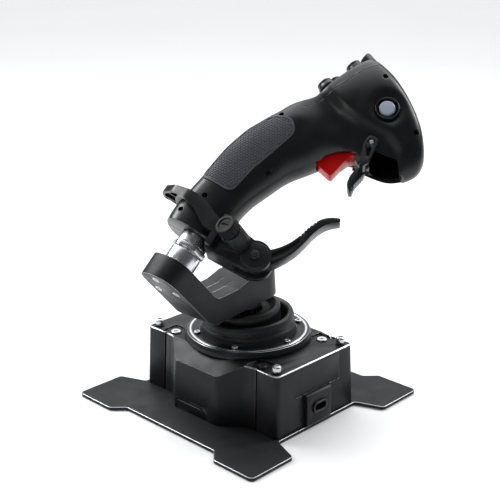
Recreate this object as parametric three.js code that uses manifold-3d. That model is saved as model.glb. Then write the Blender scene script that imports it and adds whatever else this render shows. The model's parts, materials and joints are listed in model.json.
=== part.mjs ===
// Desk flight joystick: plate, gimbal base, dust boots, offset arm and a contoured hand grip.
// Millimetres, +Z up. +X is the user's right, +Y is forward. The origin is the middle of the
// underside of the base plate. The stick is drawn leaning slightly right, as it sags at rest.
import * as THREE from "three";
import { mergeVertices } from "three/addons/utils/BufferGeometryUtils.js";
import Module from "manifold-3d";

const wasm = await Module();
wasm.setup();

// ---------------------------------------------------------------- driving dimensions
const GAP = 0.3; // clearance left between neighbouring solids

const PLATE = { thick: 3, foot: 99, sideX: 89, sideY: 76, footStart: 60, footStartX: 55 };
const BOX = { halfX: 46.2, halfY: 74.4, bottom: 3.3, top: 54.4, wall: 3, shrinkX: 0.963, shrinkY: 0.977 };
const BULGE = { x: 61.5, flat: 20, shoulder: 46, edgeZ: 43.5 };
const FLANGE = { outer: 51.5, bottom: 54.7, top: 60.4, bore: 36.6, trimInner: 46.2, trimOuter: 48 };
const PIVOT_Z = 45; // height of the gimbal centre
const REST_TILT = 5; // degrees towards +X
const ARM = { width: 35, under: 43, floor: 63.4, postTop: 67, postX: -9, rise: 53, thick: 18.3, lip: 1.5 };
const SEAT = { x: 68.6, z: 93.3 }; // collar seat on the arm, in the stick frame
const COLLAR = { radius: 12.5, upperRadius: 12, nutCorner: 13.5, lower: 13.5, nut: 4.5, length: 33 };
const CLOCK = 119; // turn of the grip about the collar, degrees
const HEEL_Z = -6; // underside of the grip, in the grip frame
const GRIP_WALL = 3;
const PADDLE_PIVOT = { x: 49.4, z: -0.5 };
const FLIP_FOLD = 40; // degrees that the flip trigger swings forward
const FLIP_PIVOT = { x: 79.5, z: 120 };
const TRIGGER_PIVOT = { x: 73, z: 116.5 };
const BUTTON_SPOT = { x: 76.5, z: 150 };

const deg = THREE.MathUtils.degToRad;
const { clamp } = THREE.MathUtils;

// ---------------------------------------------------------------- materials
const finish = (color, roughness, metalness) => () =>
  new THREE.MeshStandardMaterial({ color, roughness, metalness });
const anodised = finish(0x1b1c20, 0.45, 0.6);
const steelPlate = finish(0x1d1e22, 0.6, 0.4);
const silver = finish(0xc9ccd2, 0.25, 1);
const moulded = finish(0x121316, 0.5, 0);
const rubber = finish(0x17181b, 0.7, 0);
const padRubber = finish(0x4c5058, 0.85, 0);
const red = finish(0xd20f0f, 0.3, 0);
const paleGrey = finish(0x9aa3b5, 0.35, 0);
const board = finish(0x1c4a32, 0.6, 0);

// ---------------------------------------------------------------- geometry helpers
function signedVolume(positions, index) {
  const a = new THREE.Vector3();
  const b = new THREE.Vector3();
  const c = new THREE.Vector3();
  let total = 0;
  for (let i = 0; i < index.length; i += 3) {
    a.fromArray(positions, index[i] * 3);
    b.fromArray(positions, index[i + 1] * 3);
    c.fromArray(positions, index[i + 2] * 3);
    total += a.dot(b.cross(c)) / 6;
  }
  return total;
}

// A closed geometry becomes a manifold solid, turned outside out if its faces point in.
function solid(geometry) {
  const bare = new THREE.BufferGeometry();
  bare.setAttribute("position", geometry.getAttribute("position").clone());
  if (geometry.index) bare.setIndex(geometry.index.clone());
  const merged = mergeVertices(bare, 1e-4);
  const positions = new Float32Array(merged.getAttribute("position").array);
  const corners = Array.from(merged.index.array);
  const index = [];
  for (let i = 0; i < corners.length; i += 3) {
    const [p, q, r] = corners.slice(i, i + 3);
    if (p !== q && q !== r && r !== p) index.push(p, q, r);
  }
  if (signedVolume(positions, index) < 0) index.reverse();
  const mesh = new wasm.Mesh({
    numProp: 3,
    vertProperties: positions,
    triVerts: new Uint32Array(index),
  });
  return new wasm.Manifold(mesh);
}

function toGeometry(body) {
  const mesh = body.getMesh();
  const geometry = new THREE.BufferGeometry();
  geometry.setAttribute("position", new THREE.BufferAttribute(mesh.vertProperties, 3));
  geometry.setIndex(new THREE.BufferAttribute(mesh.triVerts, 1));
  geometry.computeVertexNormals();
  return geometry;
}

function addPart(parent, name, body, material) {
  const mesh = new THREE.Mesh(toGeometry(body), material());
  mesh.name = name;
  parent.add(mesh);
  return mesh;
}

const join = (first, ...rest) => rest.reduce((sum, next) => sum.add(next), first);
const cut = (first, ...rest) => rest.reduce((left, next) => left.subtract(next), first);

function box(x0, x1, y0, y1, z0, z1) {
  const geometry = new THREE.BoxGeometry(x1 - x0, y1 - y0, z1 - z0);
  geometry.translate((x0 + x1) / 2, (y0 + y1) / 2, (z0 + z1) / 2);
  return solid(geometry);
}

// Cylinder along Z; topRadius makes it a cone.
function rod(radius, z0, z1, sides = 24, topRadius = radius) {
  const geometry = new THREE.CylinderGeometry(topRadius, radius, z1 - z0, sides);
  geometry.rotateX(Math.PI / 2);
  geometry.translate(0, 0, (z0 + z1) / 2);
  return solid(geometry);
}

// Turns a solid built along Z so that it runs along X or Y, then moves it.
function moved(body, x, y, z) {
  return body.translate([x, y, z]);
}
const alongY = (body) => body.rotate([-90, 0, 0]);
const alongX = (body) => body.rotate([0, 90, 0]);

function rodY(radius, y0, y1, x, z, sides = 24) {
  return moved(alongY(rod(radius, y0, y1, sides)), x, 0, z);
}

function rodX(radius, x0, x1, y, z, sides = 24) {
  return moved(alongX(rod(radius, x0, x1, sides)), 0, y, z);
}

// Profile points are [radius, z]; the profile closes on itself or ends on the axis.
function turned(profile, sides = 40) {
  const points = profile.map(([radius, z]) => new THREE.Vector2(radius, z));
  const geometry = new THREE.LatheGeometry(points, sides);
  geometry.rotateX(Math.PI / 2);
  return solid(geometry);
}

// Corner list [x, y, radius] to an outline whose corners are arcs.
function rounded(corners, steps = 4) {
  const outline = [];
  const count = corners.length;
  corners.forEach(([x, y, radius = 0], i) => {
    const here = new THREE.Vector2(x, y);
    if (radius === 0) {
      outline.push(here);
      return;
    }
    const [beforeX, beforeY] = corners[(i + count - 1) % count];
    const [afterX, afterY] = corners[(i + 1) % count];
    const before = new THREE.Vector2(beforeX, beforeY).sub(here);
    const after = new THREE.Vector2(afterX, afterY).sub(here);
    const longest = 0.48 * Math.min(before.length(), after.length());
    before.normalize();
    after.normalize();
    const half = Math.acos(THREE.MathUtils.clamp(before.dot(after), -1, 1)) / 2;
    const reach = Math.min(radius / Math.tan(half), longest);
    const start = here.clone().addScaledVector(before, reach);
    const end = here.clone().addScaledVector(after, reach);
    const curve = new THREE.QuadraticBezierCurve(start, here, end);
    outline.push(...curve.getPoints(steps));
  });
  return outline;
}

// Upright prism over an outline; the top may be scaled about the axis for draft.
function prism(corners, z0, z1, scaleX = 1, scaleY = 1) {
  const outline = THREE.ShapeUtils.isClockWise(corners) ? corners.slice().reverse() : corners;
  const count = outline.length;
  const positions = [];
  outline.forEach((p) => positions.push(p.x, p.y, z0));
  outline.forEach((p) => positions.push(p.x * scaleX, p.y * scaleY, z1));
  const index = [];
  for (let i = 0; i < count; i += 1) {
    const next = (i + 1) % count;
    index.push(i, next, count + next, i, count + next, count + i);
  }
  THREE.ShapeUtils.triangulateShape(outline, []).forEach(([a, b, c]) => {
    index.push(c, b, a, count + a, count + b, count + c);
  });
  const geometry = new THREE.BufferGeometry();
  geometry.setAttribute("position", new THREE.Float32BufferAttribute(positions, 3));
  geometry.setIndex(index);
  return solid(geometry);
}

// Plate whose outline lies in the XZ plane, between two Y values.
function slab(outline, y0, y1) {
  return prism(outline, -y1, -y0).rotate([90, 0, 0]);
}

// Closed skin over rings of equal length, with a flat fan at each end.
function loft(rings) {
  const size = rings[0].length;
  const positions = rings.flat().flatMap((p) => [p.x, p.y, p.z]);
  const index = [];
  for (let row = 0; row + 1 < rings.length; row += 1) {
    for (let i = 0; i < size; i += 1) {
      const a = row * size + i;
      const b = row * size + ((i + 1) % size);
      index.push(a, b, b + size, a, b + size, a + size);
    }
  }
  [0, rings.length - 1].forEach((row, end) => {
    const middle = new THREE.Vector3();
    rings[row].forEach((p) => middle.addScaledVector(p, 1 / size));
    const centre = positions.length / 3;
    positions.push(middle.x, middle.y, middle.z);
    for (let i = 0; i < size; i += 1) {
      const a = row * size + i;
      const b = row * size + ((i + 1) % size);
      index.push(...(end === 0 ? [centre, b, a] : [centre, a, b]));
    }
  });
  const geometry = new THREE.BufferGeometry();
  geometry.setAttribute("position", new THREE.Float32BufferAttribute(positions, 3));
  geometry.setIndex(index);
  return solid(geometry);
}

// ---------------------------------------------------------------- base
function basePlate() {
  // waist in the middle of each side, a foot at each corner
  const quarter = [
    [PLATE.sideX, 50, 4],
    [PLATE.foot, PLATE.footStart, 4],
    [PLATE.foot, PLATE.foot, 5],
    [PLATE.footStartX, PLATE.foot, 4],
    [46, PLATE.sideY, 4],
  ];
  const left = quarter.slice().reverse().map(([x, y, radius]) => [-x, y, radius]);
  const top = [...quarter, ...left];
  const bottom = top.slice().reverse().map(([x, y, radius]) => [x, -y, radius]);
  return prism(rounded([...top, ...bottom], 3), 0, PLATE.thick);
}

// Plan of the housing: corner posts, a groove beside each and a swelling on both long sides.
function housingOutline() {
  const quarter = [
    [BULGE.x, BULGE.flat + 4, 8],
    [BULGE.shoulder + 1, BULGE.flat + 22, 12],
    [BULGE.shoulder, 51.4, 0],
    [BULGE.shoulder - 2.2, 51.8, 0],
    [BULGE.shoulder - 2.2, 53, 0],
    [BOX.halfX, 53.4, 0],
    [BOX.halfX, BOX.halfY, 4.5],
  ];
  const left = quarter.slice().reverse().map(([x, y, radius]) => [-x, y, radius]);
  const top = [...quarter, ...left];
  const bottom = top.slice().reverse().map(([x, y, radius]) => [x, -y, radius]);
  return rounded([...top, ...bottom], 4);
}

function housing() {
  let body = prism(housingOutline(), BOX.bottom, BOX.top, BOX.shrinkX, BOX.shrinkY);
  const inX = BOX.halfX - 2 - BOX.wall;
  const inY = BOX.halfY - 2 - BOX.wall;
  body = cut(body, box(-inX, inX, -inY, inY, BOX.bottom - 1, BOX.top - BOX.wall));
  body = cut(body, rod(39, BOX.top - BOX.wall - 1, BOX.top + 1, 40));
  for (const side of [-1, 1]) {
    // sloping shoulder on top of each swelling
    const slope = [
      new THREE.Vector2(side * 44.5, BOX.top + 0.6),
      new THREE.Vector2(side * 60.5, BULGE.edgeZ),
      new THREE.Vector2(side * 80, BULGE.edgeZ - 12),
      new THREE.Vector2(side * 80, BOX.top + 10),
      new THREE.Vector2(side * 44.5, BOX.top + 10),
    ];
    body = cut(body, slab(slope, -60, 60));
    // lowered pads for the cover screws, and seats for the corner screws
    for (const end of [-1, 1]) {
      const pad = box(27, 43, 40, 57, BOX.top - 1.6, BOX.top + 1);
      body = cut(body, pad.scale([side, end, 1]));
      body = cut(body, moved(rod(1.7, BOX.top - 2.6, BOX.top + 1, 12), side * 37.5, end * 66, 0));
    }
    // recess for the hatch low on each swelling
    const hatch = box(BULGE.x - 3.2, BULGE.x + 2, -22, 14, BOX.bottom - 1, 13.3);
    if (side > 0) body = cut(body, hatch);
  }
  // recess for the port block on the forward face
  body = cut(body, box(-15.3, 14.3, BOX.halfY - 4.3, BOX.halfY + 2, BOX.bottom - 1, 29.8));
  return body;
}

function sideHatch() {
  const face = BULGE.x - 0.4;
  let hatch = box(BULGE.x - 2.9, face, -21.7, 13.7, BOX.bottom, 13);
  hatch = cut(hatch, box(face - 1, face + 1, -20, 7, 10.6, 12));
  return hatch;
}

function portBlock() {
  const outer = BOX.halfY + 2.6;
  let block = box(-15, 14, BOX.halfY - 4, outer, BOX.bottom, 29.5);
  const chamfer = [
    new THREE.Vector2(outer - 2, 29.6),
    new THREE.Vector2(outer + 0.1, 27.4),
    new THREE.Vector2(outer + 0.1, 29.6),
  ];
  block = cut(block, prism(chamfer, -20, 20).rotate([90, 0, 90]));
  return cut(block, portOval(8.3, 4.8, BOX.halfY - 3, outer + 1));
}

// Oval bar along Y, centred on the socket.
function portOval(halfLength, halfHeight, y0, y1) {
  const outline = rounded(
    [
      [-0.5 - halfLength, 17 - halfHeight, halfHeight * 0.95],
      [-0.5 + halfLength, 17 - halfHeight, halfHeight * 0.95],
      [-0.5 + halfLength, 17 + halfHeight, halfHeight * 0.95],
      [-0.5 - halfLength, 17 + halfHeight, halfHeight * 0.95],
    ],
    4,
  );
  return slab(outline, y0, y1);
}

function portSocket() {
  const outer = BOX.halfY + 4;
  const collar = portOval(8, 4.5, BOX.halfY - 2.7, outer);
  return cut(collar, portOval(6.4, 2.9, BOX.halfY - 1.5, outer + 1));
}

function flange() {
  const { outer, bottom, top, bore, trimInner, trimOuter } = FLANGE;
  const profile = [
    [bore, bottom], [outer, bottom], [outer, bottom + 2.6], [outer - 1.6, top],
    [trimOuter + GAP, top], [trimOuter + GAP, top - 0.8], [trimInner - GAP, top - 0.8],
    [trimInner - GAP, top], [39.4, top], [39.4, top - 2], [bore, top - 2], [bore, bottom],
  ];
  let ring = turned(profile, 40);
  for (const screw of flangeScrewPlaces()) {
    ring = cut(ring, moved(rod(1.5, top - 3, top + 1, 10), screw.x, screw.y, 0));
  }
  return ring;
}

function trimRing() {
  const { top, trimInner, trimOuter } = FLANGE;
  const profile = [
    [trimInner, top - 0.5], [trimOuter, top - 0.5], [trimOuter, top + 0.3],
    [trimInner, top + 0.3], [trimInner, top - 0.5],
  ];
  return turned(profile, 40);
}

function flangeScrewPlaces() {
  return [30, 90, 150, 210, 270, 330].map((angle) => ({
    x: 42.6 * Math.cos(deg(angle)),
    y: 42.6 * Math.sin(deg(angle)),
  }));
}

// Socket head screw standing on z, with a hexagon socket.
function socketScrew(headRadius, headHeight, shankRadius, shankLength, z) {
  const head = rod(headRadius, z, z + headHeight, 16);
  const shank = rod(shankRadius, z - shankLength, z + 0.1, 10);
  return cut(join(head, shank), rod(headRadius * 0.5, z + headHeight * 0.45, z + headHeight + 1, 6));
}

// Flat screw with a wide low head.
function flatScrew(radius, z) {
  return cut(rod(radius, z, z + 1.1, 20, radius - 0.5), rod(1.4, z + 0.4, z + 2, 6));
}

function buildBase(base) {
  addPart(base, "base_plate", basePlate(), steelPlate);
  addPart(base, "base_housing", housing(), anodised);
  addPart(base, "side_hatch", sideHatch(), moulded);
  addPart(base, "port_block", portBlock(), anodised);
  addPart(base, "port_socket", portSocket(), moulded);
  addPart(base, "flange_ring", flange(), anodised);
  addPart(base, "trim_ring", trimRing(), silver);
  flangeScrewPlaces().forEach(({ x, y }, i) => {
    const screw = socketScrew(2.7, 1.6, 1.2, 2.4, FLANGE.top + GAP);
    addPart(base, `flange_screw_${i + 1}`, moved(screw, x, y, 0), silver);
  });
  let number = 1;
  for (const [x, y] of [[37.5, 66], [-37.5, 66], [-37.5, -66], [37.5, -66]]) {
    const post = socketScrew(3.6, 5.6, 1.4, 2.2, BOX.top + GAP);
    addPart(base, `corner_screw_${number}`, moved(post, x, y, 0), silver);
    const flat = flatScrew(4.4, BOX.top - 1.6 + GAP);
    const coverX = Math.sign(x) * 35.5;
    const coverY = Math.sign(y) * 48.5;
    addPart(base, `cover_screw_${number}`, moved(flat, coverX, coverY, 0), number === 1 ? moulded : silver);
    number += 1;
  }
}

// ---------------------------------------------------------------- gimbal
const CRADLE = { near: 30, far: 35, half: 10, pin: 2.8, bearing: 6 };
const YOKE = { outer: 24, inner: 17, half: 5 };

function cradle() {
  const foot = box(-30, 30, -38, 38, PLATE.thick + GAP, 10);
  let body = cut(foot, box(-20, 20, -24, 24, PLATE.thick, 11));
  for (const side of [-1, 1]) {
    const wall = box(-CRADLE.half, CRADLE.half, CRADLE.near, CRADLE.far, 9, PIVOT_Z + 7.5);
    body = join(body, wall.scale([1, side, 1]));
    body = cut(body, rodY(CRADLE.bearing + GAP, side * 28, side * 37, 0, PIVOT_Z));
  }
  return body;
}

function bearing(side) {
  const outer = rodY(CRADLE.bearing, CRADLE.near + 0.2, CRADLE.far - 0.2, 0, PIVOT_Z);
  const bore = rodY(CRADLE.pin + GAP, CRADLE.near - 2, CRADLE.far + 2, 0, PIVOT_Z);
  return cut(outer, bore).scale([1, side, 1]);
}

function yoke() {
  const { outer, inner, half } = YOKE;
  let ring = cut(box(-outer, outer, -outer, outer, -half, half), box(-inner, inner, -inner, inner, -9, 9));
  for (const side of [-1, 1]) {
    ring = join(ring, rodY(CRADLE.pin, side > 0 ? outer - 1 : -34, side > 0 ? 34 : -outer + 1, 0, 0));
  }
  return cut(ring, rodX(CRADLE.pin + GAP, -outer - 1, outer + 1, 0, 0));
}

// Wound wire: a round section pushed along a helix about Z.
function spring(radius, wire, z0, z1, turns) {
  const points = [];
  const steps = turns * 10;
  for (let i = 0; i <= steps; i += 1) {
    const angle = (i / 10) * 2 * Math.PI;
    const z = THREE.MathUtils.lerp(z0, z1, i / steps);
    points.push(new THREE.Vector3(radius * Math.cos(angle), radius * Math.sin(angle), z));
  }
  const section = new THREE.Shape();
  section.absarc(0, 0, wire, 0, 2 * Math.PI);
  const geometry = new THREE.ExtrudeGeometry(section, {
    steps,
    curveSegments: 3,
    bevelEnabled: false,
    extrudePath: new THREE.CatmullRomCurve3(points),
  });
  return solid(geometry);
}

function stickShaft() {
  const hub = box(-8, 8, -8, 8, -8, 8);
  const pins = rodX(CRADLE.pin, -YOKE.outer + 0.5, YOKE.outer - 0.5, 0, 0);
  const tube = rod(6, 7, ARM.under - 5, 20);
  const flangeTop = rod(13, ARM.under - 5.5, ARM.under - GAP, 28);
  return join(hub, pins, tube, flangeTop);
}

function buildGimbal(base, yokeGroup) {
  addPart(base, "gimbal_cradle", cradle(), silver);
  addPart(base, "bearing_front", bearing(1), silver);
  addPart(base, "bearing_rear", bearing(-1), silver);
  const rollSpring = moved(alongY(spring(4.4, 0.8, 25.4, 28.9, 2)), 0, 0, PIVOT_Z);
  addPart(base, "roll_spring", rollSpring, silver);
  addPart(base, "main_board", cut(box(-34, 34, 44, 66, 14, 15.6), rodY(3, 60, 70, 0, 15)), board);
  addPart(yokeGroup, "gimbal_yoke", yoke(), silver);
  addPart(yokeGroup, "pitch_spring", alongX(spring(4.4, 0.8, 9.5, 15.6, 3)), silver);
}

// ---------------------------------------------------------------- dust boots
// Rubber boot whose rings lean more the higher they are.
function leaningBoot(profile, lean, fromZ, toZ, sides = 30) {
  const body = turned(profile, sides);
  return body.warp((vertex) => {
    const share = THREE.MathUtils.clamp((vertex[2] - fromZ) / (toZ - fromZ), 0, 1);
    const angle = deg(lean) * share;
    const [x, , z] = vertex;
    const height = z - PIVOT_Z;
    vertex[0] = x * Math.cos(angle) + height * Math.sin(angle) * 0.5;
    vertex[2] = PIVOT_Z + height * Math.cos(angle) - x * Math.sin(angle);
  });
}

function outerBoot() {
  const floor = FLANGE.top - 2 + GAP;
  const profile = [
    [37, floor], [39, floor], [39, FLANGE.top], [38.2, FLANGE.top + 1], [37.4, 71],
    [36.6, 74], [35, 75.6], [33.2, 75.6], [32, 74.2], [31.6, 71], [32.6, 62], [37, 61], [37, floor],
  ];
  return leaningBoot(profile, 3, 62, 76);
}

function innerBoot() {
  const profile = [
    [13.6, 33], [20, 33.2], [22.5, 36.4], [24.5, 37.6], [26.4, 37.2], [27.8, 35.4], [28.2, 32],
    [28.2, 19], [26, 19], [25.8, 31], [13.6, 31], [13.6, 33],
  ];
  return turned(profile, 30);
}

// ---------------------------------------------------------------- offset arm and collar
function riseVectors() {
  const angle = deg(ARM.rise);
  return {
    up: new THREE.Vector2(-Math.sin(angle), Math.cos(angle)),
    along: new THREE.Vector2(Math.cos(angle), Math.sin(angle)),
  };
}

function offsetArm() {
  const { up, along } = riseVectors();
  const seat = new THREE.Vector2(SEAT.x, SEAT.z);
  const farTop = seat.clone().addScaledVector(along, 30);
  const farUnder = farTop.clone().addScaledVector(up, -ARM.thick);
  // where the sloping underside meets the flat one, and the inner slope meets the floor
  const underX = farUnder.x - ((farUnder.y - ARM.under) * along.x) / along.y;
  const floorX = farTop.x - ((farTop.y - ARM.floor) * along.x) / along.y;
  const outline = rounded(
    [
      [-40, ARM.under, 0],
      [underX, ARM.under, 16],
      [farUnder.x, farUnder.y, 0],
      [farTop.x, farTop.y, 0],
      [floorX, ARM.floor, 9],
      [24, ARM.floor, 10],
      [10, ARM.postTop, 8],
      [-40, ARM.postTop, 0],
    ],
    6,
  );
  const half = ARM.width / 2;
  let body = slab(outline, -half, half);
  const round = half * 0.97;
  const back = ARM.postX - half;
  const postEnd = [[back, -half, round], [200, -half, 0], [200, half, 0], [back, half, round]];
  body = body.intersect(prism(rounded(postEnd, 10), -50, 250));
  const front = half + ARM.lip;
  const seatEnd = [[-200, -half, 0], [front, -half, round], [front, half, round], [-200, half, 0]];
  body = body.intersect(onSeat(prism(rounded(seatEnd, 10), -150, 150)));
  for (const place of armScrewPlaces()) {
    const hole = rod(ARM_SCREW.head + GAP, -ARM.thick - 1, -ARM.thick + 2.2, 16);
    body = cut(body, onSeat(moved(hole, place.x, place.y, 0)));
  }
  return body;
}

// Moves a solid from the collar frame to the stick frame.
function onSeat(body) {
  return body.rotate([0, -ARM.rise, 0]).translate([SEAT.x, 0, SEAT.z]);
}

const ARM_SCREW = { circle: 11, head: 3.1 };

// Three screws round the collar axis, in the collar frame.
function armScrewPlaces() {
  const { circle } = ARM_SCREW;
  return [0, 120, 240].map(deg).map((turn) => ({ x: circle * Math.cos(turn), y: circle * Math.sin(turn) }));
}

function armScrew(place) {
  const face = -ARM.thick;
  const head = rod(ARM_SCREW.head, face - 0.2, face + 1.9, 16);
  return moved(cut(head, rod(1.6, face - 2, face + 0.9, 6)), place.x, place.y, 0);
}

function lowerCollar() {
  const { radius, lower } = COLLAR;
  const neck = radius - 0.8;
  const profile = [
    [0, GAP], [radius, GAP], [radius, lower - 1], [neck, lower - 0.4], [neck, lower], [0, lower],
  ];
  // the hole holds a set screw
  return cut(turned(profile, 32), rodX(2, -radius - 3, -radius + 4, 0, 6, 12));
}

function lockNut() {
  const start = COLLAR.lower + GAP;
  const hexagon = rod(COLLAR.nutCorner + 0.6, start, start + COLLAR.nut, 6);
  const bevel = rod(COLLAR.nutCorner, start, start + COLLAR.nut, 32);
  return hexagon.intersect(bevel);
}

function upperCollar() {
  const start = COLLAR.lower + COLLAR.nut + 2 * GAP;
  return rod(COLLAR.upperRadius, start, COLLAR.length + HEEL_Z - GAP, 32);
}

// ---------------------------------------------------------------- grip form
// Stations from the heel to the nose: back [x, z], front [x, z], half width, narrowing to the front.
const STATIONS = [
  [[-25.5, HEEL_Z], [20, HEEL_Z], 20.5, 0.14],
  [[-26, 7], [20, 7], 20, 0.14],
  [[-24, 22], [20.2, 22], 19, 0.14],
  [[-21.6, 38], [23, 37], 18.5, 0.14],
  [[-19.8, 56], [29, 52], 18.5, 0.14],
  [[-16.8, 73], [36.5, 69], 19.2, 0.14],
  [[-12.4, 88], [46.5, 82.5], 20, 0.14],
  [[-5, 103], [56, 94.5], 21, 0.16],
  [[3, 117], [66, 102], 22, 0.2],
  [[8, 133], [79, 104], 23, 0.25],
  [[14, 149], [92, 104.2], 23.8, 0.29],
  [[20.5, 165], [103.5, 106], 24.5, 0.3],
  [[29, 180], [112.5, 112], 24.5, 0.3],
  [[40, 189.5], [118.5, 121], 23.5, 0.28],
  [[57, 186.5], [119, 130.5], 22, 0.24],
  [[73, 178.5], [115.5, 139.5], 19, 0.2],
  [[87, 168.5], [109.5, 148.5], 15, 0.14],
  [[94.5, 162.5], [104.5, 154.5], 9, 0.14],
  [[98, 159.5], [101.5, 157.5], 3, 0.14],
];
const LAST_STATION = STATIONS.length - 1;

// Smooth value between four neighbours (Catmull-Rom).
function smooth(a, b, c, d, t) {
  const t2 = t * t;
  const t3 = t2 * t;
  return 0.5 * (2 * b + (c - a) * t + (2 * a - 5 * b + 4 * c - d) * t2 + (3 * b - a - 3 * c + d) * t3);
}

function stationAt(position) {
  const i = Math.min(Math.floor(position), LAST_STATION - 1);
  const [a, b, c, d] = [i - 1, i, i + 1, i + 2].map((k) => STATIONS[clamp(k, 0, LAST_STATION)].flat());
  return a.map((_, k) => smooth(a[k], b[k], c[k], d[k], position - i));
}

const signedPower = (value, power) => Math.sign(value) * Math.abs(value) ** power;

// One ring of the grip: a rounded section, narrower at the front.
function gripRing(position, offset, count) {
  const [backX, backZ, frontX, frontZ, width, taper] = stationAt(position);
  const middle = new THREE.Vector2((backX + frontX) / 2, (backZ + frontZ) / 2);
  const chord = new THREE.Vector2(frontX - backX, frontZ - backZ);
  const half = chord.length() / 2;
  chord.normalize();
  const ring = [];
  for (let i = 0; i < count; i += 1) {
    const angle = (i / count) * 2 * Math.PI;
    const along = signedPower(Math.cos(angle), 0.82);
    const across = signedPower(Math.sin(angle), 0.86) * (1 - taper * along);
    const reach = (half + offset) * along;
    ring.push(new THREE.Vector3(
      middle.x + chord.x * reach,
      (width + offset) * across,
      middle.y + chord.y * reach,
    ));
  }
  return ring;
}

// The whole grip skin, with the thumb panel planed flat.
function gripForm(offset, first = 0, last = LAST_STATION, rows = 26, count = 24) {
  const rings = [];
  for (let row = 0; row <= rows; row += 1) {
    rings.push(gripRing(THREE.MathUtils.lerp(first, last, row / rows), offset, count));
  }
  const planed = [...PANEL_PROFILE, [215, 90], [96, 90]];
  return cut(loft(rings), slab(planed.map(([along, out]) => panelPlace(along, out + offset)), -60, 60));
}

const points2 = (list) => list.map(([x, y]) => new THREE.Vector2(x, y));

// Side view of the block of the head that lies above the seam of the control panel.
function coverWedge(grow) {
  const low = PANEL.seam - grow;
  const edge = [
    [108, 62], [111, 45], [118, low + 3], [126, low], [176, low + 0.8], [200, low - 4], [215, low - 4],
    [215, 90], [108, 90],
  ];
  return slab(edge.map(([along, out]) => panelPlace(along, out)), -60, 60);
}

const PAD_CORNERS = [
  [-20, 34, 7], [8, 33, 8], [12.5, 58, 18], [26, 99, 9], [18, 108, 8], [3, 105, 8], [-9, 88, 16],
  [-17, 64, 16],
];

function padTool(grow, side) {
  const middle = [2, 68];
  const corners = PAD_CORNERS.map(([x, z, radius]) => {
    const away = new THREE.Vector2(x - middle[0], z - middle[1]).setLength(grow);
    return [x + away.x, z + away.y, radius];
  });
  const tool = slab(rounded(corners, 3), -60, -4);
  return side > 0 ? tool.scale([1, -1, 1]) : tool;
}

const TRIGGER_OUTLINE = [
  [47.8, 90.5, 2], [63.8, 86, 1.5], [65.4, 97, 10], [68.6, 107.5, 8], [76, 111.5, 4], [78.5, 117, 3],
  [74, 120, 3], [64.5, 113, 6], [56.5, 107.6, 8], [51, 98.5, 6],
];

function triggerTool(grow) {
  const middle = [63, 104];
  const corners = TRIGGER_OUTLINE.map(([x, z, radius]) => {
    const away = new THREE.Vector2(x - middle[0], z - middle[1]).setLength(grow);
    return [x + away.x, z + away.y, radius];
  });
  return rounded(corners, 3);
}

// Space swept by the trigger as it is pulled back.
function triggerSlot() {
  const still = slab(triggerTool(0.8), -9.4, 9.4);
  const pulled = [];
  for (const angle of [5, 10]) {
    const turn = still.translate([-TRIGGER_PIVOT.x, 0, -TRIGGER_PIVOT.z]).rotate([0, angle, 0]);
    pulled.push(turn.translate([TRIGGER_PIVOT.x, 0, TRIGGER_PIVOT.z]));
  }
  return join(still, ...pulled);
}

// Notch right across the grip between the handle and the jaw, which bares the sides of the trigger.
function triggerNotch() {
  const corners = [
    [49.6, 70, 0], [49.6, 89, 2], [52.5, 97, 4], [59.5, 104, 5], [67, 108.4, 4], [73, 110.5, 2],
    [72.8, 107.5, 1], [72.4, 104.4, 1], [72.4, 70, 0],
  ];
  return slab(rounded(corners, 3), -40, 40);
}

// Angle measured forward from straight down, about the flip trigger's pin.
function aroundFlip(radius, angle) {
  return new THREE.Vector2(
    FLIP_PIVOT.x + radius * Math.sin(deg(angle)),
    FLIP_PIVOT.z - radius * Math.cos(deg(angle)),
  );
}

// Slot under the nose into which the flip trigger's blade folds; `grow` thickens it into a liner.
function stowSlot(grow) {
  const inner = 15.4 - grow;
  const arc = [-22, 0, 25, 50, 70, 84].map((angle) => aroundFlip(inner, angle));
  const far = [aroundFlip(44, 77 + grow), aroundFlip(60, 40), aroundFlip(60, -5), aroundFlip(24, -32)];
  return slab([...arc, ...far], -6.8 - grow, 6.8 + grow);
}

// Outline of a sector of a ring about the flip trigger's pin.
function flipSector(inner, outer, from, to) {
  const angles = [0, 0.2, 0.4, 0.6, 0.8, 1].map((share) => THREE.MathUtils.lerp(from, to, share));
  const near = angles.map((angle) => aroundFlip(inner, angle));
  return [...near, ...angles.reverse().map((angle) => aroundFlip(outer, angle))];
}

// Room on the right cheek for the flip trigger's loop and web, with the hub's seat and the pin's hole.
function flipSweep() {
  const { x, z } = FLIP_PIVOT;
  const loopRoom = slab(flipSector(4, 21.8, -24, FLIP_FOLD + 21), -40, -17.6);
  const webRoom = slab(flipSector(15.2, 20.8, -32, FLIP_FOLD + 24), -23, 0);
  return join(loopRoom, webRoom, rodY(7.4, -40, -17.6, x, z, 20), rodY(2.1, -40, 0, x, z, 12));
}

// Pocket low on the right of the jaw.
function jawPocket() {
  const outline = rounded([[87.5, 113, 2], [101.5, 119.5, 2], [110.5, 108, 2], [95, 99, 2]], 2);
  return slab(outline, -40, -9.2);
}

function screwHoles(side) {
  const places = [[62.5, 173], [104.2, 145.4], [8, 108], [-7, 21], [24, 62], [-17, 3]];
  const holes = places.map(([x, z]) => rodY(2.1, side > 0 ? 12 : -40, side > 0 ? 40 : -12, x, z, 10));
  return join(...holes);
}

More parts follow.
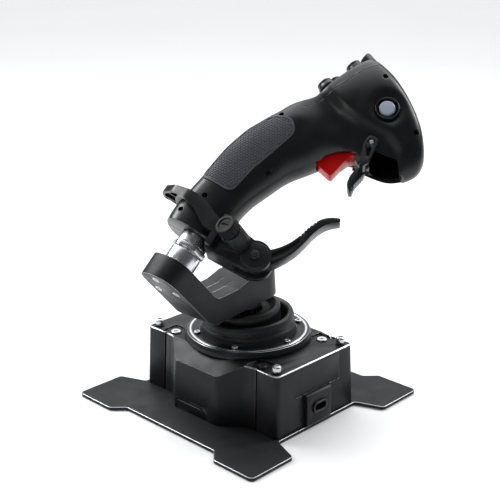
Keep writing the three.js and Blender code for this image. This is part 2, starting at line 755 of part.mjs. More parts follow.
function gripShell(side) {
  const outside = gripForm(0);
  const inside = gripForm(-GRIP_WALL, 0.4, 16.2, 18, 20);
  const halfSpace = side > 0 ? box(-80, 160, 0.15, 60, -20, 230) : box(-80, 160, -60, -0.15, -20, 230);
  const liner = outside.intersect(stowSlot(2)).subtract(box(0, 79, -60, 60, 60, 200));
  let shell = join(outside.subtract(inside), liner).intersect(halfSpace);
  shell = cut(shell, coverWedge(GAP), triggerNotch(), triggerSlot(), stowSlot(0));
  // recess for the rubber pad
  const recess = gripForm(3, 1.5, 9, 14, 24).subtract(gripForm(-1.2, 1.5, 9, 14, 24));
  shell = cut(shell, recess.intersect(padTool(0.3, side)));
  shell = cut(shell, rodY(2.1, -13, 13, TRIGGER_PIVOT.x, TRIGGER_PIVOT.z, 12));
  shell = cut(shell, screwHoles(side));
  if (side < 0) {
    shell = cut(shell, flipSweep(), jawPocket(), rodY(9.8, -40, -18.5, BUTTON_SPOT.x, BUTTON_SPOT.z, 28));
  }
  return shell;
}

function sidePad(side) {
  const skin = gripForm(0.7, 1.5, 9, 14, 24).subtract(gripForm(-0.9, 1.5, 9, 14, 24));
  return skin.intersect(padTool(0, side));
}

function topCover() {
  const hollow = gripForm(-GRIP_WALL, 0.4, 16.2, 18, 20);
  let cover = cut(gripForm(0).intersect(coverWedge(0)), hollow);
  cover = join(cover, crest());
  for (const hat of HATS) {
    cover = cut(cover, onPanel(rod(hat.radius * 0.62, -9, 12, 20), hat));
  }
  return cut(cover, onPanel(rod(4.8, -9, 12, 20), THUMB));
}

const CREST_HALF = 12;

// Raised brow across the top end of the control panel, wrapped round the top hat.
function crest() {
  const side = [
    [177.5, 38.5], [180, 45.8], [184, 47.6], [188.6, 48.8], [190.4, 47.6], [191.2, 38], [184, 35.5],
  ];
  const ridge = slab(side.map(([along, out]) => panelPlace(along, out)), -CREST_HALF, CREST_HALF);
  const plan = [[-40, -CREST_HALF, 0], [4, -CREST_HALF, 5], [4, CREST_HALF, 5], [-40, CREST_HALF, 0]];
  const corners = prism(rounded(plan, 4), -30, 30);
  const brow = ridge.intersect(onPanel(corners, { along: 188, out: 43, y: 0 }));
  const hat = HATS[2];
  return cut(brow, onPanel(rod(hat.radius + 1.9, 0.1, 14, 32), hat));
}

// ---------------------------------------------------------------- thumb controls
// Panel frame: `along` runs up the panel, `height` is the distance out along its normal.
const PANEL = { normal: [-0.902, 0.431], along: [0.431, 0.902], seam: 31.8 };
// Side view of the panel: distance up it, and distance out along its normal.
const PANEL_PROFILE = [
  [96, 54], [100, 51], [107, 47.6], [114, 44.2], [120, 41.2], [126, 38.4], [131, 37], [137, 37.6],
  [162, 40.2], [190, 41.6], [215, 42.4],
];
const HATS = [
  { name: "hat_left", along: 157.5, out: 39.8, y: 4, radius: 7.4, height: 11.6 },
  { name: "hat_right", along: 146.5, out: 38.6, y: -8.2, radius: 7.4, height: 10 },
  { name: "hat_top", along: 177, out: 40.9, y: 0, radius: 7.6, height: 11.6 },
];
const THUMB = { along: 125.5, out: 39.4, y: 0 };

// Point of the grip's side view given by its place up the panel and its distance out.
function panelPlace(along, out) {
  return new THREE.Vector2(
    PANEL.normal[0] * out + PANEL.along[0] * along,
    PANEL.normal[1] * out + PANEL.along[1] * along,
  );
}

// Moves a solid built along +Z so that it stands on the control panel.
function onPanel(body, spot) {
  const { x, y: z } = panelPlace(spot.along, spot.out);
  const lean = THREE.MathUtils.radToDeg(Math.atan2(PANEL.normal[0], PANEL.normal[1]));
  return body.rotate([0, lean, 0]).translate([x, spot.y, z]);
}

function hatCap({ radius, height }) {
  const stem = rod(2.2, -5.6, 2, 12);
  const profile = [
    [0, 1.4], [radius * 0.62, 1.4], [radius, 3.8], [radius, 5], [radius * 0.74, height - 2],
    [radius * 0.78, height - 0.6], [radius * 0.66, height], [radius * 0.4, height - 0.8], [0, height - 1],
  ];
  return join(stem, turned(profile, 24));
}

function hatPivot({ radius }) {
  return cut(rod(radius * 0.56, -5.4, -3.4, 20), rod(2.5, -7, 0, 16));
}

function thumbButton() {
  const profile = [[0, -6], [3.4, -6], [3.4, -1], [4.4, -1], [4.4, 3], [3.4, 4.4], [1.8, 5], [0, 5.2]];
  return turned(profile, 24);
}

function buildThumbControls(grip) {
  for (const hat of HATS) {
    addPart(grip, hat.name, onPanel(hatCap(hat), hat), moulded);
    addPart(grip, `${hat.name}_pivot`, onPanel(hatPivot(hat), hat), silver);
  }
  addPart(grip, "thumb_button", onPanel(thumbButton(), THUMB), moulded);
}

// ---------------------------------------------------------------- finger controls
function trigger() {
  const body = slab(rounded(TRIGGER_OUTLINE, 4), -8.6, 8.6);
  // stub axles moulded on both sides
  return join(body, rodY(1.8, -12.4, 12.4, TRIGGER_PIVOT.x, TRIGGER_PIVOT.z, 12));
}

const FLIP_BLADE = [
  [79.4, 103.6, 2], [84.4, 103.6, 1], [84.2, 98.4, 5], [82.4, 90, 6], [83.4, 84, 1.4], [81.4, 82.4, 1.4],
  [76.9, 87, 6], [75.9, 94, 6], [76.8, 101, 4],
];
const FLIP_BLADE_HALF = 5.6;
// Flat loop on the right cheek, and the web that carries the blade under the jaw.
const FLIP_ARM = { near: -18, far: -20.6 };
const FLIP_LOOP = [
  [74.9, 125, 4], [83.5, 125, 4], [85.9, 104, 3], [84, 100.4, 2], [80, 100.4, 2], [74.7, 116, 4],
];
const FLIP_EYE = [[77.9, 115, 1.6], [82.3, 116, 1.6], [83.5, 108, 1.4], [81.3, 108, 1.4]];
const FLIP_WEB = [[79.7, 103.6, 0.8], [84.6, 103.6, 0.8], [83.2, 100.4, 0.8], [79.4, 100.4, 0.8]];

function flipTrigger() {
  const { x, z } = FLIP_PIVOT;
  const { near, far } = FLIP_ARM;
  const blade = slab(rounded(FLIP_BLADE, 4), -FLIP_BLADE_HALF, FLIP_BLADE_HALF);
  const loop = slab(rounded(FLIP_LOOP, 4), far, near);
  const web = slab(rounded(FLIP_WEB, 2), far + 0.4, 1 - FLIP_BLADE_HALF);
  let body = join(blade, cut(loop, slab(rounded(FLIP_EYE, 3), far - 1, near + 1)), web);
  for (let rib = 0; rib < 5; rib += 1) {
    body = cut(body, rodY(0.8, -9, 9, 84.4 - rib * 0.5, 98.5 - rib * 3.1, 8));
  }
  return cut(body, rodY(1.9, -26, 0, x, z, 12));
}

function flipPin() {
  return rodY(1.6, -21, -7, FLIP_PIVOT.x, FLIP_PIVOT.z, 12);
}

const BEZEL_Y = -18; // back of the side button's bezel

function sideBezel() {
  const { x, z } = BUTTON_SPOT;
  const profile = [[6.6, 0], [9.4, 0], [9.4, 5.4], [8.9, 5.9], [8.4, 5.4], [7.6, 2.6], [6.6, 2.2], [6.6, 0]];
  return turned(profile, 32).rotate([90, 0, 0]).translate([x, BEZEL_Y, z]);
}

function sideButton() {
  const { x, z } = BUTTON_SPOT;
  const profile = [[0, -4], [5.4, -4], [5.4, 0.6], [6.2, 0.6], [6.2, 4.6], [5.6, 5.3], [0, 5.7]];
  return turned(profile, 32).rotate([90, 0, 0]).translate([x, BEZEL_Y, z]);
}

// ---------------------------------------------------------------- heel: bracket, paddle, rest
const BRACKET = { near: -16, far: 7, bottom: -13.5, ear: 12 };
const BRACKET_OUTLINE = [
  [13, 6, 0], [13, BRACKET.bottom, 2], [50, BRACKET.bottom, 4], [60, -6, 5], [58, 8, 6], [42, 10, 6],
  [31, 12, 4], [24, 17, 3], [13, 17, 0],
];

function paddleBracket() {
  const { x, z } = PADDLE_PIVOT;
  let body = slab(rounded(BRACKET_OUTLINE, 4), BRACKET.near, BRACKET.far);
  body = join(body, rodY(BRACKET.ear, BRACKET.near, BRACKET.far, x, z, 32));
  body = cut(body, gripForm(GAP, 0, 4, 8, 24), rod(13.2, -40, 2, 32));
  body = cut(body, box(37, 80, -11.2, 2.2, -40, 40));
  body = cut(body, rodY(2.1, -40, 40, x, z, 12));
  body = join(body, onKnob(rod(8.4, -4, 11.6, 28)));
  return cut(body, onKnob(rod(2.9, 1.6, 13, 12)));
}

function paddlePin() {
  const { x, z } = PADDLE_PIVOT;
  const head = BRACKET.near - GAP;
  return join(rodY(1.8, head - 0.5, BRACKET.far + 0.6, x, z, 12), rodY(3.4, head - 1.6, head, x, z, 20));
}

const PADDLE_HALF = 6.2; // half width of the lever
const PADDLE_MID = -4.5; // its middle plane

const PADDLE_OUTLINE = [
  [43, -11, 6], [55, -11, 5], [63, 4, 8], [70, 16, 8], [74.6, 28, 12], [76.2, 40, 10], [80, 49, 6],
  [88, 54.6, 2], [87, 57.6, 2], [77, 54, 6], [71.8, 41, 8], [70, 29, 8], [65.5, 19, 8], [58, 11, 6],
  [43, 8, 6],
];

function paddleLever() {
  const near = PADDLE_MID - PADDLE_HALF;
  const far = PADDLE_MID + PADDLE_HALF;
  const { x, z } = PADDLE_PIVOT;
  const boss = rodY(11.4, near, far, x, z, 32);
  const blade = box(54, 120, near, far, -12, 80);
  let body = slab(rounded(PADDLE_OUTLINE, 4), near, far).intersect(join(boss, blade));
  const pocket = rounded([[58.5, 2, 1.6], [63.5, 9.6, 2], [67, 17, 1.4], [61, 10.6, 2]], 2);
  body = cut(body, slab(pocket, near - 1, near + 1.6), slab(pocket, far - 1.6, far + 1));
  return cut(body, rodY(2.1, near - 1, far + 1, x, z, 12));
}

// Crescent shelf round the heel, open below, with a guide that runs on the bracket's near face.
const REST = { top: 18, wall: 2.2, guide: { x0: 14, x1: 19, y: -16.4, z0: -12 } };
const REST_EDGE = [[-41, -7, 5], [-41.5, 6, 8], [-31, 19, 10], [-18, 24.8, 10], [19, 24.8, 0]];
const REST_HOLLOW_EDGE = [[-38.8, -5, 3], [-39.2, 5, 5], [-30, 16.6, 6], [-25, 19, 2]];

// Inner edge of the shelf: the grip's own section, a little larger.
function restInner(inset, fromAngle, toAngle, steps) {
  const points = [];
  for (let i = 0; i <= steps; i += 1) {
    const angle = deg(THREE.MathUtils.lerp(fromAngle, toAngle, i / steps));
    const along = signedPower(Math.cos(angle), 0.82);
    const across = signedPower(Math.sin(angle), 0.86) * (1 - 0.14 * along);
    points.push(new THREE.Vector2(-3.5 + (24.6 + inset) * along, (21.2 + inset) * across));
  }
  return points;
}

const toRight = (outline) => outline.map((p) => new THREE.Vector2(p.x, -p.y));

function restOutline() {
  const inner = restInner(0, 193, 56, 11);
  const end = new THREE.Vector2(REST.guide.x1, -REST.guide.y);
  return toRight([...rounded(REST_EDGE, 4), end, ...inner.reverse()]);
}

function restHollow() {
  const inner = restInner(REST.wall - 0.6, 188, 142, 4);
  return toRight([...rounded(REST_HOLLOW_EDGE, 3), ...inner.reverse()]);
}

function palmRest() {
  const { top, wall, guide } = REST;
  let rest = prism(restOutline(), -2, top);
  rest = cut(rest, prism(restHollow(), -3, top - wall));
  // the top falls towards the front, and the underside rises towards the back
  rest = cut(rest, slab(points2([[-10, top + 0.1], [30, 5], [30, 40], [-10, 40]]), -60, 60));
  rest = cut(rest, slab(points2([[-60, -10], [6, -10], [6, -2], [-8, 7], [-24, 12], [-60, 12]]), -60, 60));
  const post = box(guide.x0, guide.x1, -24.6, guide.y, guide.z0, 8);
  return join(rest, cut(post, gripForm(1.2, 0, 4, 8, 24)));
}

// ---------------------------------------------------------------- clamp knob
const KNOB = { x: 33, y: -18, z: 3, turn: 28 };

function onKnob(body) {
  return body.rotate([90, 0, 0]).rotate([0, 0, -KNOB.turn]).translate([KNOB.x, KNOB.y, KNOB.z]);
}

function clampKnob() {
  const profile = [
    [0, 12], [7.6, 12], [8.2, 12.8], [8.2, 20.4], [7.2, 21.4], [5.4, 21.4], [5, 20.6], [0, 20.6],
  ];
  let knob = turned(profile, 32);
  for (let notch = 0; notch < 8; notch += 1) {
    const angle = (notch / 8) * 2 * Math.PI;
    knob = cut(knob, moved(rod(1.4, 12.8, 22, 8), 9 * Math.cos(angle), 9 * Math.sin(angle), 0));
  }
  return onKnob(join(knob, rod(2.6, 2, 12.5, 12)));
}

// ---------------------------------------------------------------- assembly
const joystick = new THREE.Group();
const stickGroup = new THREE.Group();
stickGroup.position.set(0, 0, PIVOT_Z);
stickGroup.rotation.y = deg(REST_TILT);
joystick.add(stickGroup);

const collarGroup = new THREE.Group();
collarGroup.position.set(SEAT.x, 0, SEAT.z);
collarGroup.rotation.y = -deg(ARM.rise);
stickGroup.add(collarGroup);

const gripGroup = new THREE.Group();
gripGroup.position.set(0, 0, COLLAR.length);
gripGroup.rotation.z = deg(CLOCK);
collarGroup.add(gripGroup);

buildBase(joystick);
buildGimbal(joystick, stickGroup);
addPart(joystick, "outer_boot", outerBoot(), rubber);
addPart(stickGroup, "inner_boot", innerBoot(), rubber);
addPart(stickGroup, "stick_shaft", stickShaft(), silver);
addPart(stickGroup, "offset_arm", offsetArm(), anodised);
armScrewPlaces().forEach((place, i) => {
  addPart(collarGroup, `arm_screw_${i + 1}`, armScrew(place), silver);
});
addPart(collarGroup, "lower_collar", lowerCollar(), silver);
addPart(collarGroup, "lock_nut", lockNut(), silver);
addPart(collarGroup, "upper_collar", upperCollar(), silver);
addPart(gripGroup, "grip_left_shell", gripShell(1), moulded);
addPart(gripGroup, "grip_right_shell", gripShell(-1), moulded);
addPart(gripGroup, "left_pad", sidePad(1), padRubber);
addPart(gripGroup, "right_pad", sidePad(-1), padRubber);
addPart(gripGroup, "top_cover", topCover(), moulded);
buildThumbControls(gripGroup);
addPart(gripGroup, "trigger", trigger(), red);
addPart(gripGroup, "flip_trigger", flipTrigger(), moulded);
addPart(gripGroup, "flip_pin", flipPin(), silver);
addPart(gripGroup, "side_bezel", sideBezel(), moulded);
addPart(gripGroup, "side_button", sideButton(), paleGrey);
addPart(gripGroup, "paddle_bracket", paddleBracket(), anodised);
addPart(gripGroup, "paddle_pin", paddlePin(), silver);
addPart(gripGroup, "paddle_lever", paddleLever(), moulded);
addPart(gripGroup, "palm_rest", palmRest(), moulded);
addPart(gripGroup, "clamp_knob", clampKnob(), moulded);

joystick.updateMatrixWorld(true);

export default joystick;
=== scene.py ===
"""Looks of a desktop flight stick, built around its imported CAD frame.

Shapes are made in millimetres in the frame of the group they belong to (base, stick, collar or grip),
then moved into place in metres.
"""
import math

import bmesh
import bpy
from mathutils import Matrix, Vector
from mathutils.bvhtree import BVHTree
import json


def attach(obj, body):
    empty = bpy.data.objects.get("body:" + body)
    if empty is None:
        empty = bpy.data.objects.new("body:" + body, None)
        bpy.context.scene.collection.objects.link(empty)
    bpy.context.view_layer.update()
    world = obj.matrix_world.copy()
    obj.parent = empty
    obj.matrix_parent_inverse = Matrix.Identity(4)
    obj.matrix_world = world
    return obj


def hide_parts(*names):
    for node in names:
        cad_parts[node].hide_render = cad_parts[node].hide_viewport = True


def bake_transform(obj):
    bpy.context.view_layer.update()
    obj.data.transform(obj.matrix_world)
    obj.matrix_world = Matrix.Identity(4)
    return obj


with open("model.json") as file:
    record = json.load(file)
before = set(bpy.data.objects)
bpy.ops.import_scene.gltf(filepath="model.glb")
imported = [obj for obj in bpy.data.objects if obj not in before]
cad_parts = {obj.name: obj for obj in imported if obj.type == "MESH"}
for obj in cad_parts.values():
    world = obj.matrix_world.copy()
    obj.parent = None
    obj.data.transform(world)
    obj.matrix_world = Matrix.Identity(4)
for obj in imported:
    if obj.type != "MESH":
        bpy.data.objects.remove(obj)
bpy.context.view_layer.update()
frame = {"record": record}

# ---------------------------------------------------------------- driving dimensions, mm
PIVOT_Z = 45
REST_TILT = 5
SEAT_X, SEAT_Z = 68.6, 93.3
RISE = 53
COLLAR_LENGTH = 33
CLOCK = 119
HEEL_Z = -6
WALL = 4.4
SEAM = 31.8
TRIGGER_PIVOT = (73, 116.5)
TRIGGER_PULL = 10
FLIP_PIVOT = (79.5, 120)
FLIP_FOLD = 40
BUTTON = (76.5, 150)
BEZEL_Y = -18
PADDLE_PIVOT = (49.4, -0.5)
KNOB = (33, -18, 3)
KNOB_TURN = 28
FLANGE_TOP = 60.4
BOX_TOP = 54.4
ARM_WIDTH = 35
ARM_THICK = 18.3
PLATE_THICK = 3
CORNER_POST = (37.5, 66)
COVER_SCREW = (35.5, 48.5)
FLANGE_SCREW_CIRCLE = 42.6
ARM_SCREW_CIRCLE = 11
HALF_GAP = 0.15  # from the grip's middle plane to each shell
GRIP_HALF = 60  # further out than any point of the grip, for tools that cut right through its side

# ---------------------------------------------------------------- view and light
CAMERA_PLACE = (0.5834, 0.5639, 0.4067)
CAMERA_LOOK = (-0.681, -0.656, -0.326)
CAMERA_LENS = 77.76
SKY_AXIS = (-0.32, -0.36, 0.876)  # the brightest direction of the sky
SKY_DARK, SKY_BRIGHT = 0.1, 2.7
FADE_START, FADE_END = 0.62, 0.95  # cosine of the angle from that direction
LAMP_AIM = (0, 0, 0.15)
# name, place, size and power of each soft light
LAMPS = [
    ("left", (0.35, -0.95, 0.95), (0.7, 0.45), 13),
    ("front", (1.3, 0.3, 0.9), (0.25, 0.9), 2),
    ("right", (-0.95, 0.45, 0.9), (0.35, 0.8), 9),
]

TO_METRES = Matrix.Scale(0.001, 4)
BASE = Matrix.Identity(4)
STICK = Matrix.Translation((0, 0, PIVOT_Z)) @ Matrix.Rotation(math.radians(REST_TILT), 4, "Y")
COLLAR = STICK @ Matrix.Translation((SEAT_X, 0, SEAT_Z)) @ Matrix.Rotation(-math.radians(RISE), 4, "Y")
GRIP = COLLAR @ Matrix.Translation((0, 0, COLLAR_LENGTH)) @ Matrix.Rotation(math.radians(CLOCK), 4, "Z")

BODY_OF = {node: body for body, nodes in frame["record"]["behaviour"]["bodies"].items() for node in nodes}
SLOT_OF = {entry["node"]: entry["material_slot"] for entry in frame["record"]["subparts"]}


# ---------------------------------------------------------------- solids
def solid(verts, faces):
    """A mesh object with outward normals."""
    mesh = bpy.data.meshes.new("solid")
    mesh.from_pydata(verts, [], faces)
    work = bmesh.new()
    work.from_mesh(mesh)
    bmesh.ops.recalc_face_normals(work, faces=work.faces)
    work.to_mesh(mesh)
    work.free()
    body = bpy.data.objects.new("solid", mesh)
    bpy.context.collection.objects.link(body)
    return body


def rounded(corners, steps=6):
    """Corner list (x, y, radius) to an outline with curved corners."""
    outline = []
    count = len(corners)
    for i, corner in enumerate(corners):
        here = Vector(corner[:2])
        radius = corner[2] if len(corner) > 2 else 0
        if radius == 0:
            outline.append(here)
            continue
        before = Vector(corners[i - 1][:2]) - here
        after = Vector(corners[(i + 1) % count][:2]) - here
        longest = 0.48 * min(before.length, after.length)
        before.normalize()
        after.normalize()
        half = math.acos(max(-1, min(1, before.dot(after)))) / 2
        reach = min(radius / math.tan(half), longest)
        start = here + before * reach
        end = here + after * reach
        for step in range(steps + 1):
            t = step / steps
            outline.append(start * (1 - t) ** 2 + here * 2 * t * (1 - t) + end * t * t)
    return outline


def plate(near, far):
    """Solid between two matching outlines."""
    count = len(near)
    faces = [tuple(range(count)), tuple(range(count, 2 * count))]
    faces += [(i, (i + 1) % count, count + (i + 1) % count, count + i) for i in range(count)]
    return solid(near + far, faces)


def prism(outline, z0, z1):
    """Plate whose outline lies in the XY plane."""
    return plate([(p[0], p[1], z0) for p in outline], [(p[0], p[1], z1) for p in outline])


def slab(outline, y0, y1):
    """Plate whose outline lies in the XZ plane."""
    return plate([(p[0], y0, p[1]) for p in outline], [(p[0], y1, p[1]) for p in outline])


def box(x0, x1, y0, y1, z0, z1):
    return prism([(x0, y0), (x1, y0), (x1, y1), (x0, y1)], z0, z1)


def circle(radius, sides, x, y):
    turns = [2 * math.pi * i / sides for i in range(sides)]
    return [(x + radius * math.cos(a), y + radius * math.sin(a)) for a in turns]


def rod(radius, z0, z1, sides=48, x=0, y=0):
    return prism(circle(radius, sides, x, y), z0, z1)


def rod_y(radius, y0, y1, x, z, sides=48):
    return slab(circle(radius, sides, x, z), y0, y1)


def turned(profile, sides=96):
    """Profile points (radius, z) about Z; ends on the axis or closes on itself."""
    verts, rings = [], []
    for radius, z in profile:
        start = len(verts)
        if radius == 0:
            verts.append((0, 0, z))
            rings.append([start] * sides)
            continue
        for i in range(sides):
            angle = 2 * math.pi * i / sides
            verts.append((radius * math.cos(angle), radius * math.sin(angle), z))
        rings.append(list(range(start, start + sides)))
    if profile[0][0] > 0:
        rings.append(rings[0])
    faces = []
    for lower, upper in zip(rings, rings[1:]):
        for i in range(sides):
            j = (i + 1) % sides
            corners = [lower[i], lower[j], upper[j], upper[i]]
            face = list(dict.fromkeys(corners))
            if len(face) > 2:
                faces.append(face)
    return solid(verts, faces)


def curved(profile, steps=5):
    """Profile whose points may carry a corner radius."""
    return [tuple(p) for p in rounded(profile, steps)]


def loft(rings):
    """Closed skin over rings of equal length."""
    size = len(rings[0])
    verts = [p for ring in rings for p in ring]
    faces = []
    for row in range(len(rings) - 1):
        for i in range(size):
            j = (i + 1) % size
            a, b = row * size, (row + 1) * size
            faces.append((a + i, a + j, b + j, b + i))
    faces.append(tuple(range(size)))
    faces.append(tuple(range(len(verts) - size, len(verts))))
    return solid(verts, faces)


def apply_modifiers(body):
    graph = bpy.context.evaluated_depsgraph_get()
    mesh = bpy.data.meshes.new_from_object(body.evaluated_get(graph))
    old = body.data
    body.modifiers.clear()
    body.data = mesh
    bpy.data.meshes.remove(old)


def combine(body, operation, tools):
    for tool in tools:
        step = body.modifiers.new("step", "BOOLEAN")
        step.operation = operation
        step.solver = "EXACT"
        step.object = tool
    apply_modifiers(body)
    for tool in tools:
        bpy.data.objects.remove(tool)
    return body


def cut(body, *tools):
    return combine(body, "DIFFERENCE", tools)


def join(body, *tools):
    return combine(body, "UNION", tools)


def common(body, *tools):
    return combine(body, "INTERSECT", tools)


def moved(body, matrix):
    body.data.transform(matrix)
    return body


def copy(body):
    twin = body.copy()
    twin.data = body.data.copy()
    bpy.context.collection.objects.link(twin)
    return twin


def put(body, node, place, material, bevel=0.4, segments=3, angle=32, edge=None, rides=True):
    """Finishes a solid: eased edges, smooth shading, its place, and the CAD node it stands for."""
    body.name = f"{node}_look"
    body.data.materials.clear()
    body.data.materials.append(material)
    if edge:
        body.data.materials.append(edge)
    if bevel:
        step = body.modifiers.new("edges", "BEVEL")
        step.width = bevel
        step.segments = segments
        step.limit_method = "ANGLE"
        step.angle_limit = math.radians(angle)
        step.miter_outer = "MITER_ARC"
        if edge:
            step.material = 1
        apply_modifiers(body)
    body.data.transform(TO_METRES @ place)
    body.data.polygons.foreach_set("use_smooth", [True] * len(body.data.polygons))
    body.data.set_sharp_from_angle(angle=math.radians(angle + 6))
    body.data.update()
    if rides:
        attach(body, BODY_OF[node])
    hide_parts(node)
    return body


# ---------------------------------------------------------------- materials
class Nodes:
    """Short way to write a material's node tree."""

    def __init__(self, name):
        self.material = bpy.data.materials.new(name)
        self.material.use_nodes = True
        self.tree = self.material.node_tree
        self.shader = self.tree.nodes["Principled BSDF"]
        self.place = self.add("ShaderNodeTexCoord").outputs["Object"]

    def add(self, kind, **settings):
        node = self.tree.nodes.new(kind)
        for key, value in settings.items():
            setattr(node, key, value)
        return node

    def link(self, source, target):
        self.tree.links.new(source, target)

    def noise(self, scale, detail=4, stretch=(1, 1, 1)):
        mapping = self.add("ShaderNodeMapping")
        mapping.inputs["Scale"].default_value = stretch
        self.link(self.place, mapping.inputs["Vector"])
        noise = self.add("ShaderNodeTexNoise")
        noise.inputs["Scale"].default_value = scale
        noise.inputs["Detail"].default_value = detail
        self.link(mapping.outputs["Vector"], noise.inputs["Vector"])
        return noise.outputs["Fac"]

    def ramp(self, source, low, high, start=0.3, end=0.7):
        ramp = self.add("ShaderNodeMapRange")
        ramp.inputs["From Min"].default_value = start
        ramp.inputs["From Max"].default_value = end
        ramp.inputs["To Min"].default_value = low
        ramp.inputs["To Max"].default_value = high
        self.link(source, ramp.inputs["Value"])
        return ramp.outputs["Result"]

    def mix(self, factor, first, second):
        mix = self.add("ShaderNodeMix", data_type="RGBA")
        self.link(factor, mix.inputs["Factor"])
        for value, socket in ((first, mix.inputs[6]), (second, mix.inputs[7])):
            if isinstance(value, tuple):
                socket.default_value = (*value, 1)
            else:
                self.link(value, socket)
        return mix.outputs[2]

    def edges(self, radius, low=0.02, high=0.2):
        """Mask that is 1 on edges, where a highlight is painted: where a rounded normal leaves the real one.
        """
        bevel = self.add("ShaderNodeBevel", samples=6)
        bevel.inputs["Radius"].default_value = radius
        normal = self.add("ShaderNodeNewGeometry").outputs["Normal"]
        dot = self.add("ShaderNodeVectorMath", operation="DOT_PRODUCT")
        self.link(bevel.outputs["Normal"], dot.inputs[0])
        self.link(normal, dot.inputs[1])
        return self.ramp(dot.outputs["Value"], 1, 0, 1 - high, 1 - low)

    def bump(self, source, strength, distance, after=None):
        bump = self.add("ShaderNodeBump")
        bump.inputs["Strength"].default_value = strength
        bump.inputs["Distance"].default_value = distance
        self.link(source, bump.inputs["Height"])
        if after:
            self.link(after, bump.inputs["Normal"])
        return bump.outputs["Normal"]


def shaded(colour, amount):
    return tuple(min(1, c * amount) for c in colour)


def finish_of(name, colour, rough, metal=0.0, grain=1400, relief=0.05, coat=0.0, vary=0.12, painted_edge_highlight=None,
              rounding=0.0, brushed=None, gloss=0.5):
    """One surface: cloudy colour, grain, uneven roughness and a paler painted highlight in patches along the
    edges.
    """
    nodes = Nodes(name)
    shader = nodes.shader
    clouds = nodes.noise(24, 3)
    tone = nodes.mix(nodes.ramp(clouds, 0, 1), shaded(colour, 1 - vary), shaded(colour, 1 + vary))
    # painted highlight: edges are coloured paler in noise patches, standing in for light caught on them
    if painted_edge_highlight:
        patches = nodes.ramp(nodes.noise(160, 5), 0.25, 1, 0.35, 0.62)
        mask = nodes.add("ShaderNodeMath", operation="MULTIPLY")
        nodes.link(nodes.edges(0.0006), mask.inputs[0])
        nodes.link(patches, mask.inputs[1])
        tone = nodes.mix(mask.outputs["Value"], tone, painted_edge_highlight)
    nodes.link(tone, shader.inputs["Base Color"])
    smears = nodes.ramp(nodes.noise(60, 6), rough * 0.85, min(1, rough * 1.2))
    nodes.link(smears, shader.inputs["Roughness"])
    shader.inputs["Metallic"].default_value = metal
    shader.inputs["Specular IOR Level"].default_value = gloss
    shader.inputs["Coat Weight"].default_value = coat
    shader.inputs["Coat Roughness"].default_value = 0.08
    soft = None
    if rounding:
        bevel = nodes.add("ShaderNodeBevel", samples=6)
        bevel.inputs["Radius"].default_value = rounding
        soft = bevel.outputs["Normal"]
    texture = nodes.noise(grain, 2, brushed or (1, 1, 1))
    nodes.link(nodes.bump(texture, relief, 0.0004, soft), shader.inputs["Normal"])
    return nodes.material


# anodised, plate coat and blackened steel get a paler painted highlight along their edges
anodised = finish_of("dark anodised", (0.012, 0.0124, 0.014), 0.4, metal=0.25, relief=0.04,
                     painted_edge_highlight=(0.1, 0.104, 0.112), rounding=0.0004, gloss=0.25)
bright_edge = finish_of("bare chamfer", (0.45, 0.46, 0.49), 0.3, metal=0.9, relief=0.03)
plate_coat = finish_of("textured plate coat", (0.014, 0.0145, 0.0165), 0.5, metal=0.1, grain=900, relief=0.12,
                       painted_edge_highlight=(0.05, 0.052, 0.056), rounding=0.0004, gloss=0.2)
polished = finish_of("polished steel", (0.7, 0.71, 0.74), 0.24, metal=1.0, relief=0.02, vary=0.05,
                     rounding=0.0003, brushed=(1, 1, 14))
machined = finish_of("machined steel", (0.55, 0.56, 0.58), 0.28, metal=1.0, relief=0.05, vary=0.08,
                     rounding=0.0003, brushed=(1, 12, 1))
blackened = finish_of("blackened steel", (0.02, 0.02, 0.023), 0.34, metal=0.6, relief=0.04,
                      painted_edge_highlight=(0.16, 0.16, 0.17), rounding=0.0003)
moulded = finish_of("moulded black plastic", (0.005, 0.0053, 0.0062), 0.31, grain=2600, relief=0.04,
                    vary=0.18, gloss=0.42)
dull_black = finish_of("dull black plastic", (0.004, 0.0042, 0.005), 0.5, grain=2400, relief=0.08, vary=0.2,
                       gloss=0.15)
boot_rubber = finish_of("boot rubber", (0.008, 0.0084, 0.0096), 0.45, grain=1100, relief=0.08, vary=0.2,
                        gloss=0.3)
pad_rubber = finish_of("grey pad rubber", (0.066, 0.07, 0.083), 0.6, grain=2000, relief=0.08, vary=0.12,
                       gloss=0.35)
red_gloss = finish_of("red gloss plastic", (0.6, 0.0035, 0.004), 0.3, grain=500, relief=0.02, vary=0.06,
                      gloss=0.2)
pale_satin = finish_of("pale button plastic", (0.3, 0.34, 0.43), 0.3, grain=1800, relief=0.03, coat=0.25,
                       vary=0.04)
board_mask = finish_of("board solder mask", (0.01, 0.1, 0.04), 0.35, grain=300, relief=0.1, coat=0.3)
FINISHES = {
    "dark_plate": plate_coat, "dark_anodised": anodised, "polished_steel": polished,
    "bright_steel": machined, "black_steel": blackened, "boot_rubber": boot_rubber,
    "pad_rubber": pad_rubber, "black_plastic": moulded, "red_gloss": red_gloss,
    "pale_button": pale_satin, "circuit_board": board_mask,
}
for cad_node, slot_name in SLOT_OF.items():
    mesh = bpy.data.objects[cad_node].data
    mesh.materials.clear()
    mesh.materials.append(FINISHES[slot_name])


# ---------------------------------------------------------------- base
def four_fold(quarter, steps):
    """Outline from one quarter's corners (x, y, radius), mirrored in both axes."""
    left = [(-x, y, r) for x, y, r in reversed(quarter)]
    top = quarter + left
    bottom = [(x, -y, r) for x, y, r in reversed(top)]
    return rounded(top + bottom, steps)


def base_plate():
    quarter = [(89, 50, 4), (99, 60, 4), (99, 99, 5), (55, 99, 4), (46, 76, 4)]
    put(prism(four_fold(quarter, 8), 0, PLATE_THICK), "base_plate", BASE, plate_coat, 0.45, edge=bright_edge)


